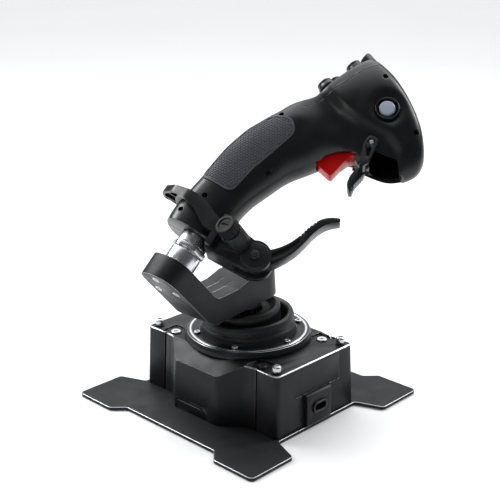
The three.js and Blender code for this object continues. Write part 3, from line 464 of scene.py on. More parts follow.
def housing():
    quarter = [
        (61.5, 24, 8), (47, 42, 12), (46, 51.4, 0), (43.8, 51.8, 0), (43.8, 53, 0), (46.2, 53.4, 0),
        (46.2, 74.4, 4.5),
    ]
    plan = four_fold(quarter, 8)
    levels = [(3.3, 1, 1), (BOX_TOP - 0.8, 0.964, 0.978), (BOX_TOP, 0.948, 0.968)]
    body = loft([[(x * sx, y * sy, z) for x, y in plan] for z, sx, sy in levels])
    tools = [box(-41.2, 41.2, -69.4, 69.4, 2, BOX_TOP - 3), rod(39, 50, 56, 96)]
    for side in (-1, 1):
        slope = [(44.5, 55), (60.5, 43.5), (80, 31.5), (80, 64.4), (44.5, 64.4)]
        tools.append(slab([(side * x, z) for x, z in slope], -60, 60))
        for end in (-1, 1):
            pad = rounded([(27, 40, 2), (43, 40, 2), (43, 57, 2), (27, 57, 2)])
            tools.append(prism([(side * x, end * y) for x, y in pad], BOX_TOP - 1.6, BOX_TOP + 1))
            x, y = CORNER_POST
            tools.append(rod(1.7, BOX_TOP - 2.6, BOX_TOP + 1, 24, side * x, end * y))
    tools.append(box(58.3, 63.5, -22, 14, 2, 13.3))
    tools.append(box(-15.3, 14.3, 70.1, 76.4, 2, 29.8))
    # thin panel line on the port's face
    for x0, x1, z0, z1 in ((-27.9, 24.8, 30.1, 30.6), (-27.9, -27.4, 30.1, 51)):
        tools.append(box(x0, x1, 72.6, 76, z0, z1))
    body = put(cut(body, *tools), "base_housing", BASE, anodised, 0.5, edge=bright_edge)
    for face in body.data.polygons:
        if 0.3 < face.normal.z < 0.95 and face.center.z > (BOX_TOP - 0.9) / 1000:
            face.material_index = 1


def side_hatch():
    body = cut(box(58.6, 61.1, -21.7, 13.7, 3.3, 13), box(60.1, 62.1, -20, 7, 10.6, 12))
    put(body, "side_hatch", BASE, moulded, 0.3)


def port_oval(half_length, half_height, y0, y1):
    r = half_height * 0.95
    x0, x1 = -0.5 - half_length, -0.5 + half_length
    z0, z1 = 17 - half_height, 17 + half_height
    return slab(rounded([(x0, z0, r), (x1, z0, r), (x1, z1, r), (x0, z1, r)], 10), y0, y1)


def port():
    block = box(-15, 14, 70.4, 77, 3.3, 29.5)
    wedge = slab([(-20, 0), (20, 0), (20, 4), (-20, 4)], 0, 4)
    moved(wedge, Matrix.Translation((0, 75.2, 29.5)) @ Matrix.Rotation(math.radians(-45), 4, "X"))
    block = cut(block, wedge, port_oval(8.3, 4.8, 71.4, 78))
    put(block, "port_block", BASE, anodised, 0.4)
    socket = cut(port_oval(8, 4.5, 71.7, 78.4), port_oval(6.4, 2.9, 72.9, 79.4))
    put(socket, "port_socket", BASE, moulded, 0.4)


def flange():
    top = FLANGE_TOP
    profile = [
        (36.6, 54.7), (51.5, 54.7), (51.5, 57.3), (49.9, top), (48.3, top), (48.3, top - 0.8),
        (45.9, top - 0.8), (45.9, top), (39.4, top), (39.4, top - 2), (36.6, top - 2),
    ]
    places = [math.radians(30 + 60 * k) for k in range(6)]
    reach = FLANGE_SCREW_CIRCLE
    holes = [rod(1.5, top - 3, top + 1, 24, reach * math.cos(a), reach * math.sin(a)) for a in places]
    put(cut(turned(profile, 144), *holes), "flange_ring", BASE, anodised, 0.35, 2, edge=bright_edge)
    trim = [(46.2, top - 0.5), (48, top - 0.5), (48, top + 0.1), (47.8, top + 0.3), (46.4, top + 0.3),
            (46.2, top + 0.1)]
    put(turned(trim, 144), "trim_ring", BASE, polished, 0)
    for number, a in enumerate(places, 1):
        screw = socket_screw(2.7, 1.6, 1.2, 2.4, top + 0.3)
        there = Matrix.Translation((reach * math.cos(a), reach * math.sin(a), 0))
        put(screw, f"flange_screw_{number}", there @ Matrix.Rotation(a, 4, "Z"), machined, 0.15, 2)


def socket_screw(head, height, shank, length, z):
    """Screw with a rounded head and a hexagon socket."""
    top = z + height
    profile = [(0, z - length), (shank, z - length), (shank, z), (head, z)]
    profile += [(head, top - 0.3 * height)]
    profile += [(head - 0.35 * height * (1 - math.cos(t)), top - 0.3 * height * (1 - math.sin(t)))
                for t in (0.4, 0.8, 1.2, math.pi / 2)]
    profile += [(0, top)]
    return cut(turned(profile, 48), rod(head * 0.5, z + height * 0.45, top + 1, 6))


def base_screws():
    corners = [(1, 1), (-1, 1), (-1, -1), (1, -1)]
    for number, (i, j) in enumerate(corners, 1):
        post = socket_screw(3.6, 5.6, 1.4, 2.2, BOX_TOP + 0.3)
        there = Matrix.Translation((i * CORNER_POST[0], j * CORNER_POST[1], 0))
        put(post, f"corner_screw_{number}", there, machined, 0.25, 2)
        z = BOX_TOP - 1.3
        head = turned([(0, z), (4.4, z), (4.4, z + 0.35), (4.1, z + 0.85), (3.7, z + 1.1), (0, z + 1.1)], 64)
        flat = cut(head, rod(1.4, z + 0.4, z + 2, 6))
        metal = blackened if number == 1 else machined
        there = Matrix.Translation((i * COVER_SCREW[0], j * COVER_SCREW[1], 0))
        put(flat, f"cover_screw_{number}", there, metal, 0.12, 2)


# ---------------------------------------------------------------- dust boots
def lean_boot(body, lean, low, high):
    """Tips the upper rings of a boot with the stick."""
    for vertex in body.data.vertices:
        x, y, z = vertex.co
        share = max(0, min(1, (z - low) / (high - low)))
        angle = math.radians(lean) * share
        height = z - PIVOT_Z
        vertex.co = (
            x * math.cos(angle) + height * math.sin(angle) * 0.5,
            y,
            PIVOT_Z + height * math.cos(angle) - x * math.sin(angle),
        )
    return body


def boots():
    floor = FLANGE_TOP - 1.7
    outer = curved([
        (37, floor, 0), (39, floor, 0), (39, FLANGE_TOP, 0.4), (38.2, 62, 1.2), (38.3, 66, 2),
        (37.2, 67.4, 0.8), (37.6, 72, 2), (36.4, 75.4, 1.6), (33.6, 75.8, 1.6), (32, 74.2, 1), (31.6, 71, 1),
        (32.6, 62, 1), (37, 61, 0),
    ], 6)
    body = lean_boot(turned(outer, 128), 3, 62, 76)
    boot = put(body, "outer_boot", BASE, boot_rubber, 0, rides=False)
    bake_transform(boot)
    inner = curved([
        (13.6, 33, 0), (20, 33.2, 3), (22.5, 36.6, 2), (24.6, 37.8, 1.4), (26.8, 37.2, 1.6), (28, 34.6, 1.6),
        (27.6, 30, 2), (28.2, 24, 2), (27.7, 19, 0), (26, 19, 0), (25.6, 31, 1), (13.6, 31, 0),
    ], 6)
    boot = put(turned(inner, 128), "inner_boot", STICK, boot_rubber, 0, rides=False)
    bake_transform(boot)


# ---------------------------------------------------------------- arm and collar
def arm():
    rise = math.radians(RISE)
    up = Vector((-math.sin(rise), math.cos(rise)))
    along = Vector((math.cos(rise), math.sin(rise)))
    under, floor = 43, 63.4
    far_top = Vector((SEAT_X, SEAT_Z)) + along * 30
    far_under = far_top - up * ARM_THICK
    under_x = far_under.x - (far_under.y - under) * along.x / along.y
    floor_x = far_top.x - (far_top.y - floor) * along.x / along.y
    outline = rounded([
        (-40, under, 0), (under_x, under, 16), (far_under.x, far_under.y, 0), (far_top.x, far_top.y, 0),
        (floor_x, floor, 9), (24, floor, 10), (10, 67, 8), (-40, 67, 0),
    ], 14)
    half = ARM_WIDTH / 2
    body = slab(outline, -half, half)
    back = -9 - half
    r = half * 0.97
    post = rounded([(back, -half, r), (200, -half, 0), (200, half, 0), (back, half, r)], 24)
    front = half + 1.5
    seat = rounded([(-200, -half, 0), (front, -half, r), (front, half, r), (-200, half, 0)], 24)
    seat_place = Matrix.Translation((SEAT_X, 0, SEAT_Z)) @ Matrix.Rotation(-rise, 4, "Y")
    body = common(body, prism(post, -50, 250), moved(prism(seat, -150, 150), seat_place))
    tools = []
    for x, y in arm_screw_places():
        tools.append(moved(rod(3.4, -ARM_THICK - 1, -ARM_THICK + 2.2, 32, x, y), seat_place))
    # plain engraved lines on the floor and a triangle on the post
    for offset in (-5, 5):
        tools.append(box(18, floor_x - 7, offset - 0.25, offset + 0.25, floor - 0.35, floor + 3))
    tools.append(cut(rod(5.4, 66.6, 70, 3, -4), rod(4.5, 66, 71, 3, -4)))
    put(cut(body, *tools), "offset_arm", STICK, anodised, 0.7, 4, edge=bright_edge)


def arm_screw_places():
    turns = [math.radians(a) for a in (0, 120, 240)]
    return [(ARM_SCREW_CIRCLE * math.cos(a), ARM_SCREW_CIRCLE * math.sin(a)) for a in turns]


def collar():
    for number, (x, y) in enumerate(arm_screw_places(), 1):
        face = -ARM_THICK
        head = cut(rod(3.1, face - 0.2, face + 1.9, 40, x, y), rod(1.6, face - 2, face + 0.9, 6, x, y))
        put(head, f"arm_screw_{number}", COLLAR, machined, 0.2, 2)
    lower = turned([(0, 0.3), (12.2, 0.3), (12.5, 0.6), (12.5, 12.3), (12.1, 12.9), (11.7, 13.1),
                    (11.7, 13.5), (0, 13.5)], 128)
    sideways = Matrix.Translation((0, 0, 6)) @ Matrix.Rotation(math.radians(90), 4, "Y")
    put(cut(lower, moved(rod(2, -16, -8, 32), sideways)), "lower_collar", COLLAR, polished, 0.15, 2)
    nut = common(rod(14.1, 13.8, 18.3, 6), rod(13.5, 13.8, 18.3, 96))
    put(nut, "lock_nut", COLLAR, polished, 0.35, 3)
    top = COLLAR_LENGTH + HEEL_Z - 0.3
    upper = turned([(0, 18.6), (11.6, 18.6), (12, 19), (12, top - 0.4), (11.6, top), (0, top)], 128)
    put(upper, "upper_collar", COLLAR, polished, 0)


# ---------------------------------------------------------------- grip form
# Stations from the heel to the nose: back x, z, front x, z, half width, narrowing to the front.
STATIONS = [
    (-25.5, HEEL_Z, 20, HEEL_Z, 20.5, 0.14), (-26, 7, 20, 7, 20, 0.14), (-24, 22, 20.2, 22, 19, 0.14),
    (-21.6, 38, 23, 37, 18.5, 0.14), (-19.8, 56, 29, 52, 18.5, 0.14), (-16.8, 73, 36.5, 69, 19.2, 0.14),
    (-12.4, 88, 46.5, 82.5, 20, 0.14), (-5, 103, 56, 94.5, 21, 0.16), (3, 117, 66, 102, 22, 0.2),
    (8, 133, 79, 104, 23, 0.25), (14, 149, 92, 104.2, 23.8, 0.29), (20.5, 165, 103.5, 106, 24.5, 0.3),
    (29, 180, 112.5, 112, 24.5, 0.3), (40, 189.5, 118.5, 121, 23.5, 0.28), (57, 186.5, 119, 130.5, 22, 0.24),
    (73, 178.5, 115.5, 139.5, 19, 0.2), (87, 168.5, 109.5, 148.5, 15, 0.14),
    (94.5, 162.5, 104.5, 154.5, 9, 0.14), (98, 159.5, 101.5, 157.5, 3, 0.14),
]
PANEL_NORMAL = Vector((-0.902, 0, 0.431))
PANEL_ALONG = Vector((0.431, 0, 0.902))
# Side view of the thumb panel: distance up it, and distance out along its normal.
PANEL_PROFILE = [
    (96, 54), (100, 51), (107, 47.6), (114, 44.2), (120, 41.2), (126, 38.4), (131, 37), (137, 37.6),
    (162, 40.2), (190, 41.6), (215, 42.4),
]


def smooth(a, b, c, d, t):
    """Smooth value between four neighbours (Catmull-Rom)."""
    return 0.5 * (2 * b + (c - a) * t + (2 * a - 5 * b + 4 * c - d) * t**2 + (3 * b - a - 3 * c + d) * t**3)


def station_at(position):
    last = len(STATIONS) - 1
    i = min(int(position), last - 1)
    near = [STATIONS[max(0, min(last, k))] for k in (i - 1, i, i + 1, i + 2)]
    return [smooth(*column, position - i) for column in zip(*near)]


def signed_power(value, power):
    return math.copysign(abs(value) ** power, value)


def grip_point(station, angle, offset):
    back_x, back_z, front_x, front_z, width, taper = station
    middle = Vector(((back_x + front_x) / 2, (back_z + front_z) / 2))
    chord = Vector((front_x - back_x, front_z - back_z))
    half = chord.length / 2
    chord.normalize()
    along = signed_power(math.cos(angle), 0.82)
    across = signed_power(math.sin(angle), 0.86) * (1 - taper * along)
    reach = (half + offset) * along
    return Vector((middle.x + chord.x * reach, (width + offset) * across, middle.y + chord.y * reach))


def step_up(value, start, end):
    t = max(0, min(1, (value - start) / (end - start)))
    return t * t * (3 - 2 * t)


def panel_out(along):
    for (a0, o0), (a1, o1) in zip(PANEL_PROFILE, PANEL_PROFILE[1:]):
        if along <= a1:
            return o0 + (o1 - o0) * max(0, along - a0) / (a1 - a0)
    return PANEL_PROFILE[-1][1]


def plane_panel(p, offset, blend):
    """Lowers a point of the skin to the thumb panel, with a rounded edge of radius `blend`."""
    along = p.dot(PANEL_ALONG)
    if along < 98:
        return p
    out = p.dot(PANEL_NORMAL)
    limit = panel_out(along) + offset
    over = out - limit
    if over < -blend:
        return p
    lowered = limit if over > blend else out - (over + blend) ** 2 / (4 * blend)
    return p + PANEL_NORMAL * (lowered - out)


def grip_form(offset, first=0, last=None, rows=120, count=128, blend=2.2, shape=None):
    """The whole grip skin, optionally with `shape` moving each point."""
    last = len(STATIONS) - 1 if last is None else last
    rings = []
    for row in range(rows + 1):
        station = station_at(first + (last - first) * row / rows)
        ring = [grip_point(station, 2 * math.pi * i / count, offset) for i in range(count)]
        ring = [plane_panel(p, offset, blend) for p in ring]
        rings.append([shape(p) if shape else p for p in ring])
    return loft(rings)


def panel_place(along, out):
    p = PANEL_NORMAL * out + PANEL_ALONG * along
    return (p.x, p.z)


def cover_wedge(grow):
    low = SEAM - grow
    edge = [(108, 62), (111, 45), (118, low + 3), (126, low), (176, low + 0.8), (200, low - 4),
            (215, low - 4), (215, 90), (108, 90)]
    return slab([panel_place(a, o) for a, o in edge], -GRIP_HALF, GRIP_HALF)


# Side views in the grip's frame: corners x, z and radius.
PAD_CORNERS = [(-20, 34, 7), (8, 33, 8), (12.5, 58, 18), (26, 99, 9), (18, 108, 8), (3, 105, 8),
               (-9, 88, 16), (-17, 64, 16)]
PAD_MIDDLE = (2, 68)
TRIGGER_OUTLINE = [
    (47.8, 90.5, 3), (63.4, 86.2, 2.6), (65.4, 97, 10), (68.6, 107.5, 8), (76, 111.5, 4), (78.5, 117, 3),
    (74, 120, 3), (64.5, 113, 6), (56.5, 107.6, 8), (51, 98.5, 6),
]
TRIGGER_MIDDLE = (63, 104)


def grown(corners, middle, grow, steps=8):
    """Rounded outline with each corner pushed `grow` away from the middle."""
    out = []
    for x, z, radius in corners:
        away = Vector((x - middle[0], z - middle[1])).normalized() * grow
        out.append((x + away.x, z + away.y, radius))
    return rounded(out, steps)


def pad_tool(grow, side):
    outline = grown(PAD_CORNERS, PAD_MIDDLE, grow)
    return slab(outline, -GRIP_HALF, -4) if side < 0 else slab(outline, 4, GRIP_HALF)


def about(pivot, angle):
    """Turn about the grip's Y axis through a point of the side view."""
    there = Matrix.Translation((pivot[0], 0, pivot[1]))
    return there @ Matrix.Rotation(math.radians(angle), 4, "Y") @ there.inverted()


def trigger_room():
    """Room for the trigger at rest, half pulled and pulled, and the notch below it."""
    outline = grown(TRIGGER_OUTLINE, TRIGGER_MIDDLE, 0.8)
    turns = [about(TRIGGER_PIVOT, TRIGGER_PULL * share) for share in (0, 0.5, 1)]
    tools = [moved(slab(outline, -9.4, 9.4), turn) for turn in turns]
    notch = rounded([
        (49.6, 70, 0), (49.6, 89, 2), (52.5, 97, 4), (59.5, 104, 5), (67, 108.4, 4), (73, 110.5, 2),
        (72.8, 107.5, 1), (72.4, 104.4, 1), (72.4, 70, 0),
    ], 8)
    return [*tools, slab(notch, -40, 40)]


def around_flip(radius, angle):
    a = math.radians(angle)
    return (FLIP_PIVOT[0] + radius * math.sin(a), FLIP_PIVOT[1] - radius * math.cos(a))


def flip_sector(inner, outer, start, end):
    angles = [start + (end - start) * k / 12 for k in range(13)]
    return [around_flip(inner, a) for a in angles] + [around_flip(outer, a) for a in reversed(angles)]


def stow_slot(grow):
    arc = [around_flip(15.4 - grow, angle) for angle in range(-22, 86, 6)]
    far = [around_flip(44, 77 + grow), around_flip(60, 40), around_flip(60, -5), around_flip(24, -32)]
    return slab(arc + far, -6.8 - grow, 6.8 + grow)


def screw_holes(side):
    places = [(62.5, 173), (104.2, 145.4), (8, 108), (-7, 21), (24, 62), (-17, 3)]
    span = (12, 40) if side > 0 else (-40, -12)
    return [rod_y(2.1, *span, x, z, 32) for x, z in places]


JAW_WINDOW = [(82, 117, 1), (101.9, 120.5, 3), (110, 110, 3), (98.5, 101.5, 2), (89, 104.6, 1), (82, 108, 1)]


def flip_room():
    """Room for the flip trigger's swing, its eye and its pin, and the window in the jaw."""
    x, z = FLIP_PIVOT
    return [
        slab(flip_sector(4, 21.8, -24, FLIP_FOLD + 21), -40, -17.6),
        slab(flip_sector(15.2, 20.8, -32, FLIP_FOLD + 24), -23, 0),
        rod_y(7.4, -40, -17.6, x, z, 64),
        rod_y(2.1, -40, 0, x, z, 32),
        slab(rounded(JAW_WINDOW, 6), -40, 6.8),
    ]


# Crease of the head in side view, from under the panel round below the button to the nose.
CREASE = [(14, 152), (25, 145.4), (36.7, 140.2), (48.3, 135.6), (61.3, 134.4), (74.6, 136), (87.8, 135.6),
          (98, 132), (106, 125), (112, 118)]
NOSE_FACET = (Vector((0.52, -0.83, -0.2)), Vector((111, -14.5, 122)))


def crease_side(x, z):
    """Distance to the crease, positive on the button's side, and the place along it from 0 to 1."""
    best = None
    for i, ((x0, z0), (x1, z1)) in enumerate(zip(CREASE, CREASE[1:])):
        dx, dz = x1 - x0, z1 - z0
        length = math.hypot(dx, dz)
        t = max(0, min(1, ((x - x0) * dx + (z - z0) * dz) / length**2))
        gap = math.hypot(x - x0 - t * dx, z - z0 - t * dz)
        side = 1 if dx * (z - z0) - dz * (x - x0) > 0 else -1
        if best is None or gap < abs(best[0]):
            best = (side * gap, (i + t) / (len(CREASE) - 1))
    return best


def sculpt_head(p):
    """Waist below the crease, a dish round the button and a flat on each side of the nose."""
    x, y, z = p
    if x + z < 100:
        return p
    flank = step_up(abs(y), 4, 15)
    gap, place = crease_side(x, z)
    depth = 3.8 * step_up(place, -0.1, 0.25) * (1 - 0.45 * step_up(place, 0.6, 1))
    waist = depth * step_up(-gap, -2, 8) * (1 - step_up(-gap, 12, 34))
    dish = 2 * (1 - step_up(math.hypot(x - BUTTON[0], z - BUTTON[1]), 8, 17))
    y -= math.copysign(flank * (waist + dish), y)
    point = Vector((x, y, z))
    normal, centre = NOSE_FACET
    normal = Vector((normal.x, math.copysign(normal.y, y), normal.z))
    centre = Vector((centre.x, math.copysign(centre.y, y), centre.z))
    over = (point - centre).dot(normal)
    soft = 1.2
    if over > -soft:
        point -= normal * (over if over > soft else (over + soft) ** 2 / (4 * soft))
    return point


def nose_frame():
    """Thin frame of a square hatch, cut into the flat on the right of the nose."""
    normal, centre = NOSE_FACET
    outer, inner = [[(i * half, j * half, radius) for i, j in ((-1, -1), (1, -1), (1, 1), (-1, 1))]
                    for half, radius in ((5, 1), (4.6, 0.8))]
    square = cut(prism(rounded(outer), -0.5, 1.5), prism(rounded(inner), -1, 2))
    facing = normal.to_track_quat("Z", "Y").to_matrix().to_4x4()
    place = Matrix.Translation(centre + Vector((-1.5, 0, -2))) @ facing
    return moved(square, place @ Matrix.Rotation(math.radians(20), 4, "Z"))


def grip_shells():
    outside = grip_form(0, shape=sculpt_head)
    inside = grip_form(-WALL, 0.4, 16.2, 50, 56)
    for side, node in ((1, "grip_left_shell"), (-1, "grip_right_shell")):
        near, far = sorted((side * HALF_GAP, side * GRIP_HALF))
        shell = common(copy(outside), box(-80, 160, near, far, -20, 230))
        tools = [copy(inside), cover_wedge(0.5), stow_slot(0), *trigger_room(), *screw_holes(side)]
        recess = cut(grip_form(3, 1.5, 9, 30, 72), pad_skin(-1.2))
        tools.append(common(recess, pad_tool(0.3, side)))
        tools.append(rod_y(2.1, -13, 13, *TRIGGER_PIVOT, 32))
        if side < 0:
            tools += [*flip_room(), rod_y(9.8, -40, -18.5, *BUTTON, 96), nose_frame()]
            tools.append(rod_y(6, -22, -11, *BUTTON, 64))
        put(cut(shell, *tools), node, GRIP, moulded, 0.3, 2, 38)
    cover = common(outside, cover_wedge(0))
    side_view = [(177.5, 38.5, 0), (180, 45.8, 2), (184, 47.6, 2), (188.6, 48.8, 1.6), (190.4, 47.6, 1),
                 (191.2, 38, 0), (184, 35.5, 0)]
    ridge = slab([panel_place(*p) for p in rounded(side_view, 4)], -12, 12)
    plan = prism(rounded([(-40, -12, 0), (4, -12, 6), (4, 12, 6), (-40, 12, 0)], 8), -30, 30)
    ridge = common(ridge, moved(plan, on_panel(188, 43, 0)))
    along, out, y, r, _ = HATS["hat_top"]
    ridge = cut(ridge, moved(rod(r + 1.9, 0.1, 14, 96), on_panel(along, out, y)))
    cover = join(cut(cover, inside), ridge)
    tools = [moved(rod(r * 0.62, -9, 12, 48), on_panel(a, o, y)) for a, o, y, r, _ in HATS.values()]
    tools.append(moved(rod(4.8, -9, 12, 48), on_panel(*THUMB)))
    put(cut(cover, *tools), "top_cover", GRIP, moulded, 0.3, 2, 38)


# ---------------------------------------------------------------- thumb controls
# Place up the panel, distance out, y, radius, height.
HATS = {
    "hat_left": (157.5, 39.8, 4, 7.4, 11.6),
    "hat_right": (146.5, 38.6, -8.2, 7.4, 10),
    "hat_top": (177, 40.9, 0, 7.6, 11.6),
}
THUMB = (125.5, 39.4, 0)


def on_panel(along, out, y):
    """Frame standing on the thumb panel, +Z outwards."""
    x, z = panel_place(along, out)
    lean = math.atan2(PANEL_NORMAL.x, PANEL_NORMAL.z)
    return Matrix.Translation((x, y, z)) @ Matrix.Rotation(lean, 4, "Y")


def hats():
    for node, (along, out, y, r, height) in HATS.items():
        profile = curved([
            (0, -5.6, 0), (2.2, -5.6, 0), (2.2, 1.4, 0), (r * 0.62, 1.4, 0), (r, 3.8, 0.6), (r, 5, 0.6),
            (r * 0.82, height - 2.4, 1.4), (r * 0.84, height - 0.9, 0.8), (r * 0.7, height, 0.9),
            (r * 0.42, height - 0.8, 1), (0, height - 1, 0),
        ], 4)
        cap = turned(profile, 72)
        grooves = []
        for k in range(12):
            a = 2 * math.pi * k / 12
            x, z = r * 0.72 * math.cos(a), r * 0.72 * math.sin(a)
            grooves.append(rod(0.35, height - 0.45, height + 1, 10, x, z))
        put(cut(cap, *grooves), node, GRIP @ on_panel(along, out, y), moulded, 0)
    profile = curved([(0, -6, 0), (3.4, -6, 0), (3.4, -1, 0), (4.4, -1, 0), (4.4, 3, 1), (3.4, 4.5, 1),
                      (1.8, 5.1, 1), (0, 5.2, 0)], 4)
    put(turned(profile, 64), "thumb_button", GRIP @ on_panel(*THUMB), moulded, 0)


# ---------------------------------------------------------------- finger controls
def trigger():
    body = slab(rounded(TRIGGER_OUTLINE, 10), -8.6, 8.6)
    for vertex in body.data.vertices:
        vertex.co.y *= 1 - 0.38 * step_up(TRIGGER_PIVOT[1] - vertex.co.z, 6, 24)
    body = join(body, rod_y(1.8, -12.4, 12.4, *TRIGGER_PIVOT, 32))
    put(body, "trigger", GRIP, red_gloss, 1.1, 4)


def flip_trigger():
    blade = rounded([
        (79.4, 103.6, 2), (84.4, 103.6, 1), (84.2, 98.4, 5), (82.4, 90, 6), (83.4, 84, 1.4),
        (81.4, 82.4, 1.4), (76.9, 87, 6), (75.9, 94, 6), (76.8, 101, 4),
    ], 8)
    loop = rounded([(74.9, 125, 4), (83.5, 125, 4), (85.9, 104, 3), (84, 100.4, 2), (80, 100.4, 2),
                    (74.7, 116, 4)], 8)
    eye = rounded([(77.9, 115, 1.6), (82.3, 116, 1.6), (83.5, 108, 1.4), (81.3, 108, 1.4)], 6)
    web = rounded([(79.7, 103.6, 0.8), (84.6, 103.6, 0.8), (83.2, 100.4, 0.8), (79.4, 100.4, 0.8)], 4)
    arm_plate = cut(slab(loop, -20.6, -18), slab(eye, -22, -17))
    body = join(slab(blade, -5.6, 5.6), arm_plate, slab(web, -20.2, -4.6))
    tools = [rod_y(0.95, -9, 9, 84.6 - k * 0.42, 98.4 - k * 2.5, 24) for k in range(6)]
    tools.append(rod_y(1.9, -26, 0, *FLIP_PIVOT, 32))
    put(cut(body, *tools), "flip_trigger", GRIP, moulded, 0.5, 3)


def side_button():
    x, z = BUTTON
    place = GRIP @ Matrix.Translation((x, BEZEL_Y, z)) @ Matrix.Rotation(math.radians(90), 4, "X")
    bezel = curved([(6.6, 0, 0), (9.4, 0, 0), (9.4, 5.4, 0.5), (8.9, 5.9, 0.4), (8.4, 5.2, 0.6),
                    (7.6, 2.6, 0.6), (6.6, 2.2, 0)], 4)
    put(turned(bezel, 96), "side_bezel", place, moulded, 0)
    button = curved([(0, -4, 0), (5.4, -4, 0), (5.4, 0.6, 0), (6.2, 0.6, 0), (6.2, 4.4, 0), (6, 5.1, 0.4),
                     (5.2, 5.5, 0.6), (0, 5.7, 0)], 4)
    put(turned(button, 96), "side_button", place, pale_satin, 0)


# ---------------------------------------------------------------- heel parts
def bracket():
    outline = rounded([(13, 6, 0), (13, -13.5, 2), (50, -13.5, 4), (60, -6, 5), (58, 8, 6), (42, 10, 6),
                       (31, 12, 4), (24, 17, 3), (13, 17, 0)], 8)
    x, z = PADDLE_PIVOT
    body = join(slab(outline, -16, 7), rod_y(12, -16, 7, x, z, 96))
    body = cut(body, grip_form(0.3, 0, 4, 30, 96), rod(13.2, -40, 2, 96), box(37, 80, -11.2, 2.2, -40, 40),
               rod_y(2.1, -40, 40, x, z, 32))
    knob = knob_place()
    body = cut(join(body, moved(rod(8.4, -4, 11.6, 64), knob)), moved(rod(2.9, 1.6, 13, 32), knob))
    groove = cut(rod_y(10.4, -17, -15.6, x, z, 96), rod_y(9.9, -18, -15, x, z, 96))
    put(cut(body, groove), "paddle_bracket", GRIP, anodised, 0.6, 3, 38, edge=bright_edge)


def paddle_pin():
    x, z = PADDLE_PIVOT
    body = join(rod_y(1.8, -16.8, 7.6, x, z, 32), rod_y(3.4, -17.9, -16.3, x, z, 48))
    slot = box(x - 5, x + 5, -19, -17.3, z - 0.4, z + 0.4)
    put(cut(body, slot), "paddle_pin", GRIP, blackened, 0.2, 2)


def ribbon(spine, steps):
    """Outline of a bar along a smooth line of points, each with its half width, with a round end."""
    line = []
    last = len(spine) - 1
    for i in range(last):
        near = [spine[max(0, min(last, k))] for k in (i - 1, i, i + 1, i + 2)]
        line += [tuple(smooth(*column, step / steps) for column in zip(*near)) for step in range(steps)]
    line.append(spine[-1])
    left, right = [], []
    for i, (x, z, half) in enumerate(line):
        ahead, behind = line[min(i + 1, len(line) - 1)], line[max(i - 1, 0)]
        along = Vector((ahead[0] - behind[0], ahead[1] - behind[1])).normalized()
        left.append((x - along.y * half, z + along.x * half))
        right.append((x + along.y * half, z - along.x * half))
    x, z, half = line[-1]
    turn = math.atan2(along.y, along.x)
    tip = [(x + half * math.cos(turn + a), z + half * math.sin(turn + a)) for a in (-1.1, -0.5, 0, 0.5, 1.1)]
    return right + tip + left[::-1]


def paddle():
    x, z = PADDLE_PIVOT
    near, far = -10.7, 1.7
    # x, z and half width along the lever
    spine = [(46, -4, 8), (56, 3.2, 6.4), (63, 11, 5), (68.4, 20, 4), (71.8, 30, 3.2), (74, 39, 2.9),
             (77.6, 47.4, 2.8), (82.4, 52.8, 2.3), (87.4, 56, 1.5)]
    outline = ribbon(spine, 8)
    keep = join(rod_y(11.4, near - 1, far + 1, x, z, 96), box(54, 120, near - 1, far + 1, -12, 80))
    body = common(slab(outline, near, far), keep)
    pocket = ribbon([(58.6, 6, 1.4), (63.4, 11.6, 2.2), (67.6, 19, 1.8), (70.4, 27, 0.8)], 8)
    tools = [slab(pocket, near - 1, near + 1.6), slab(pocket, far - 1.6, far + 1)]
    tools.append(rod_y(2.1, near - 1, far + 1, x, z))
    for k in range(7):
        tools.append(rod_y(0.6, near - 1, far + 1, 69.2 + k * 0.95, 31.8 + k * 2.9, 16))
    put(cut(body, *tools), "paddle_lever", GRIP, moulded, 0.5, 3, 38)


def rest_inner(inset, start, end, steps):
    points = []
    for i in range(steps + 1):
        angle = math.radians(start + (end - start) * i / steps)
        along = signed_power(math.cos(angle), 0.82)
        across = signed_power(math.sin(angle), 0.86) * (1 - 0.14 * along)
        points.append((-3.5 + (24.6 + inset) * along, (21.2 + inset) * across))
    return points


def palm_rest():
    edge = rounded([(-41, -7, 5), (-41.5, 6, 8), (-31, 19, 10), (-18, 24.8, 10), (19, 24.8, 0)], 10)
    outline = [*[tuple(p) for p in edge], (19, 16.4), *reversed(rest_inner(0, 193, 56, 40))]
    hollow = rounded([(-38.8, -5, 3), (-39.2, 5, 5), (-30, 16.6, 6), (-25, 19, 2)], 8)
    hollow = [*[tuple(p) for p in hollow], *reversed(rest_inner(1.6, 188, 142, 14))]
    flip = [[(x, -y) for x, y in shape] for shape in (outline, hollow)]
    body = prism(flip[0], -2, 18)
    turns = [Matrix.Rotation(math.radians(a), 4, "Z") for a in (0, 18, 36)]
    ribs = [moved(box(-45, -15, -0.6, 0.6, -4, 16.5), turn) for turn in turns]
    inside = cut(prism(flip[1], -3, 15.8), *ribs)
    above = rounded([(-60, 18.1, 0), (-6, 18.1, 24), (10, 10.4, 24), (30, 4.4, 0), (30, 40, 0),
                     (-60, 40, 0)], 12)
    under = rounded([(-60, -10, 0), (6, -10, 0), (6, -2, 3), (-8, 7, 16), (-24, 12, 16), (-60, 12, 0)], 12)
    body = cut(body, inside, slab(above, -GRIP_HALF, GRIP_HALF), slab(under, -GRIP_HALF, GRIP_HALF))
    post = cut(box(14, 19, -24.6, -16.4, -12, 8), grip_form(1.2, 0, 4, 30, 96))
    put(join(body, post), "palm_rest", GRIP, moulded, 1.2, 5, 38)


def knob_place():
    turn = Matrix.Rotation(math.radians(-KNOB_TURN), 4, "Z") @ Matrix.Rotation(math.radians(90), 4, "X")
    return Matrix.Translation(KNOB) @ turn


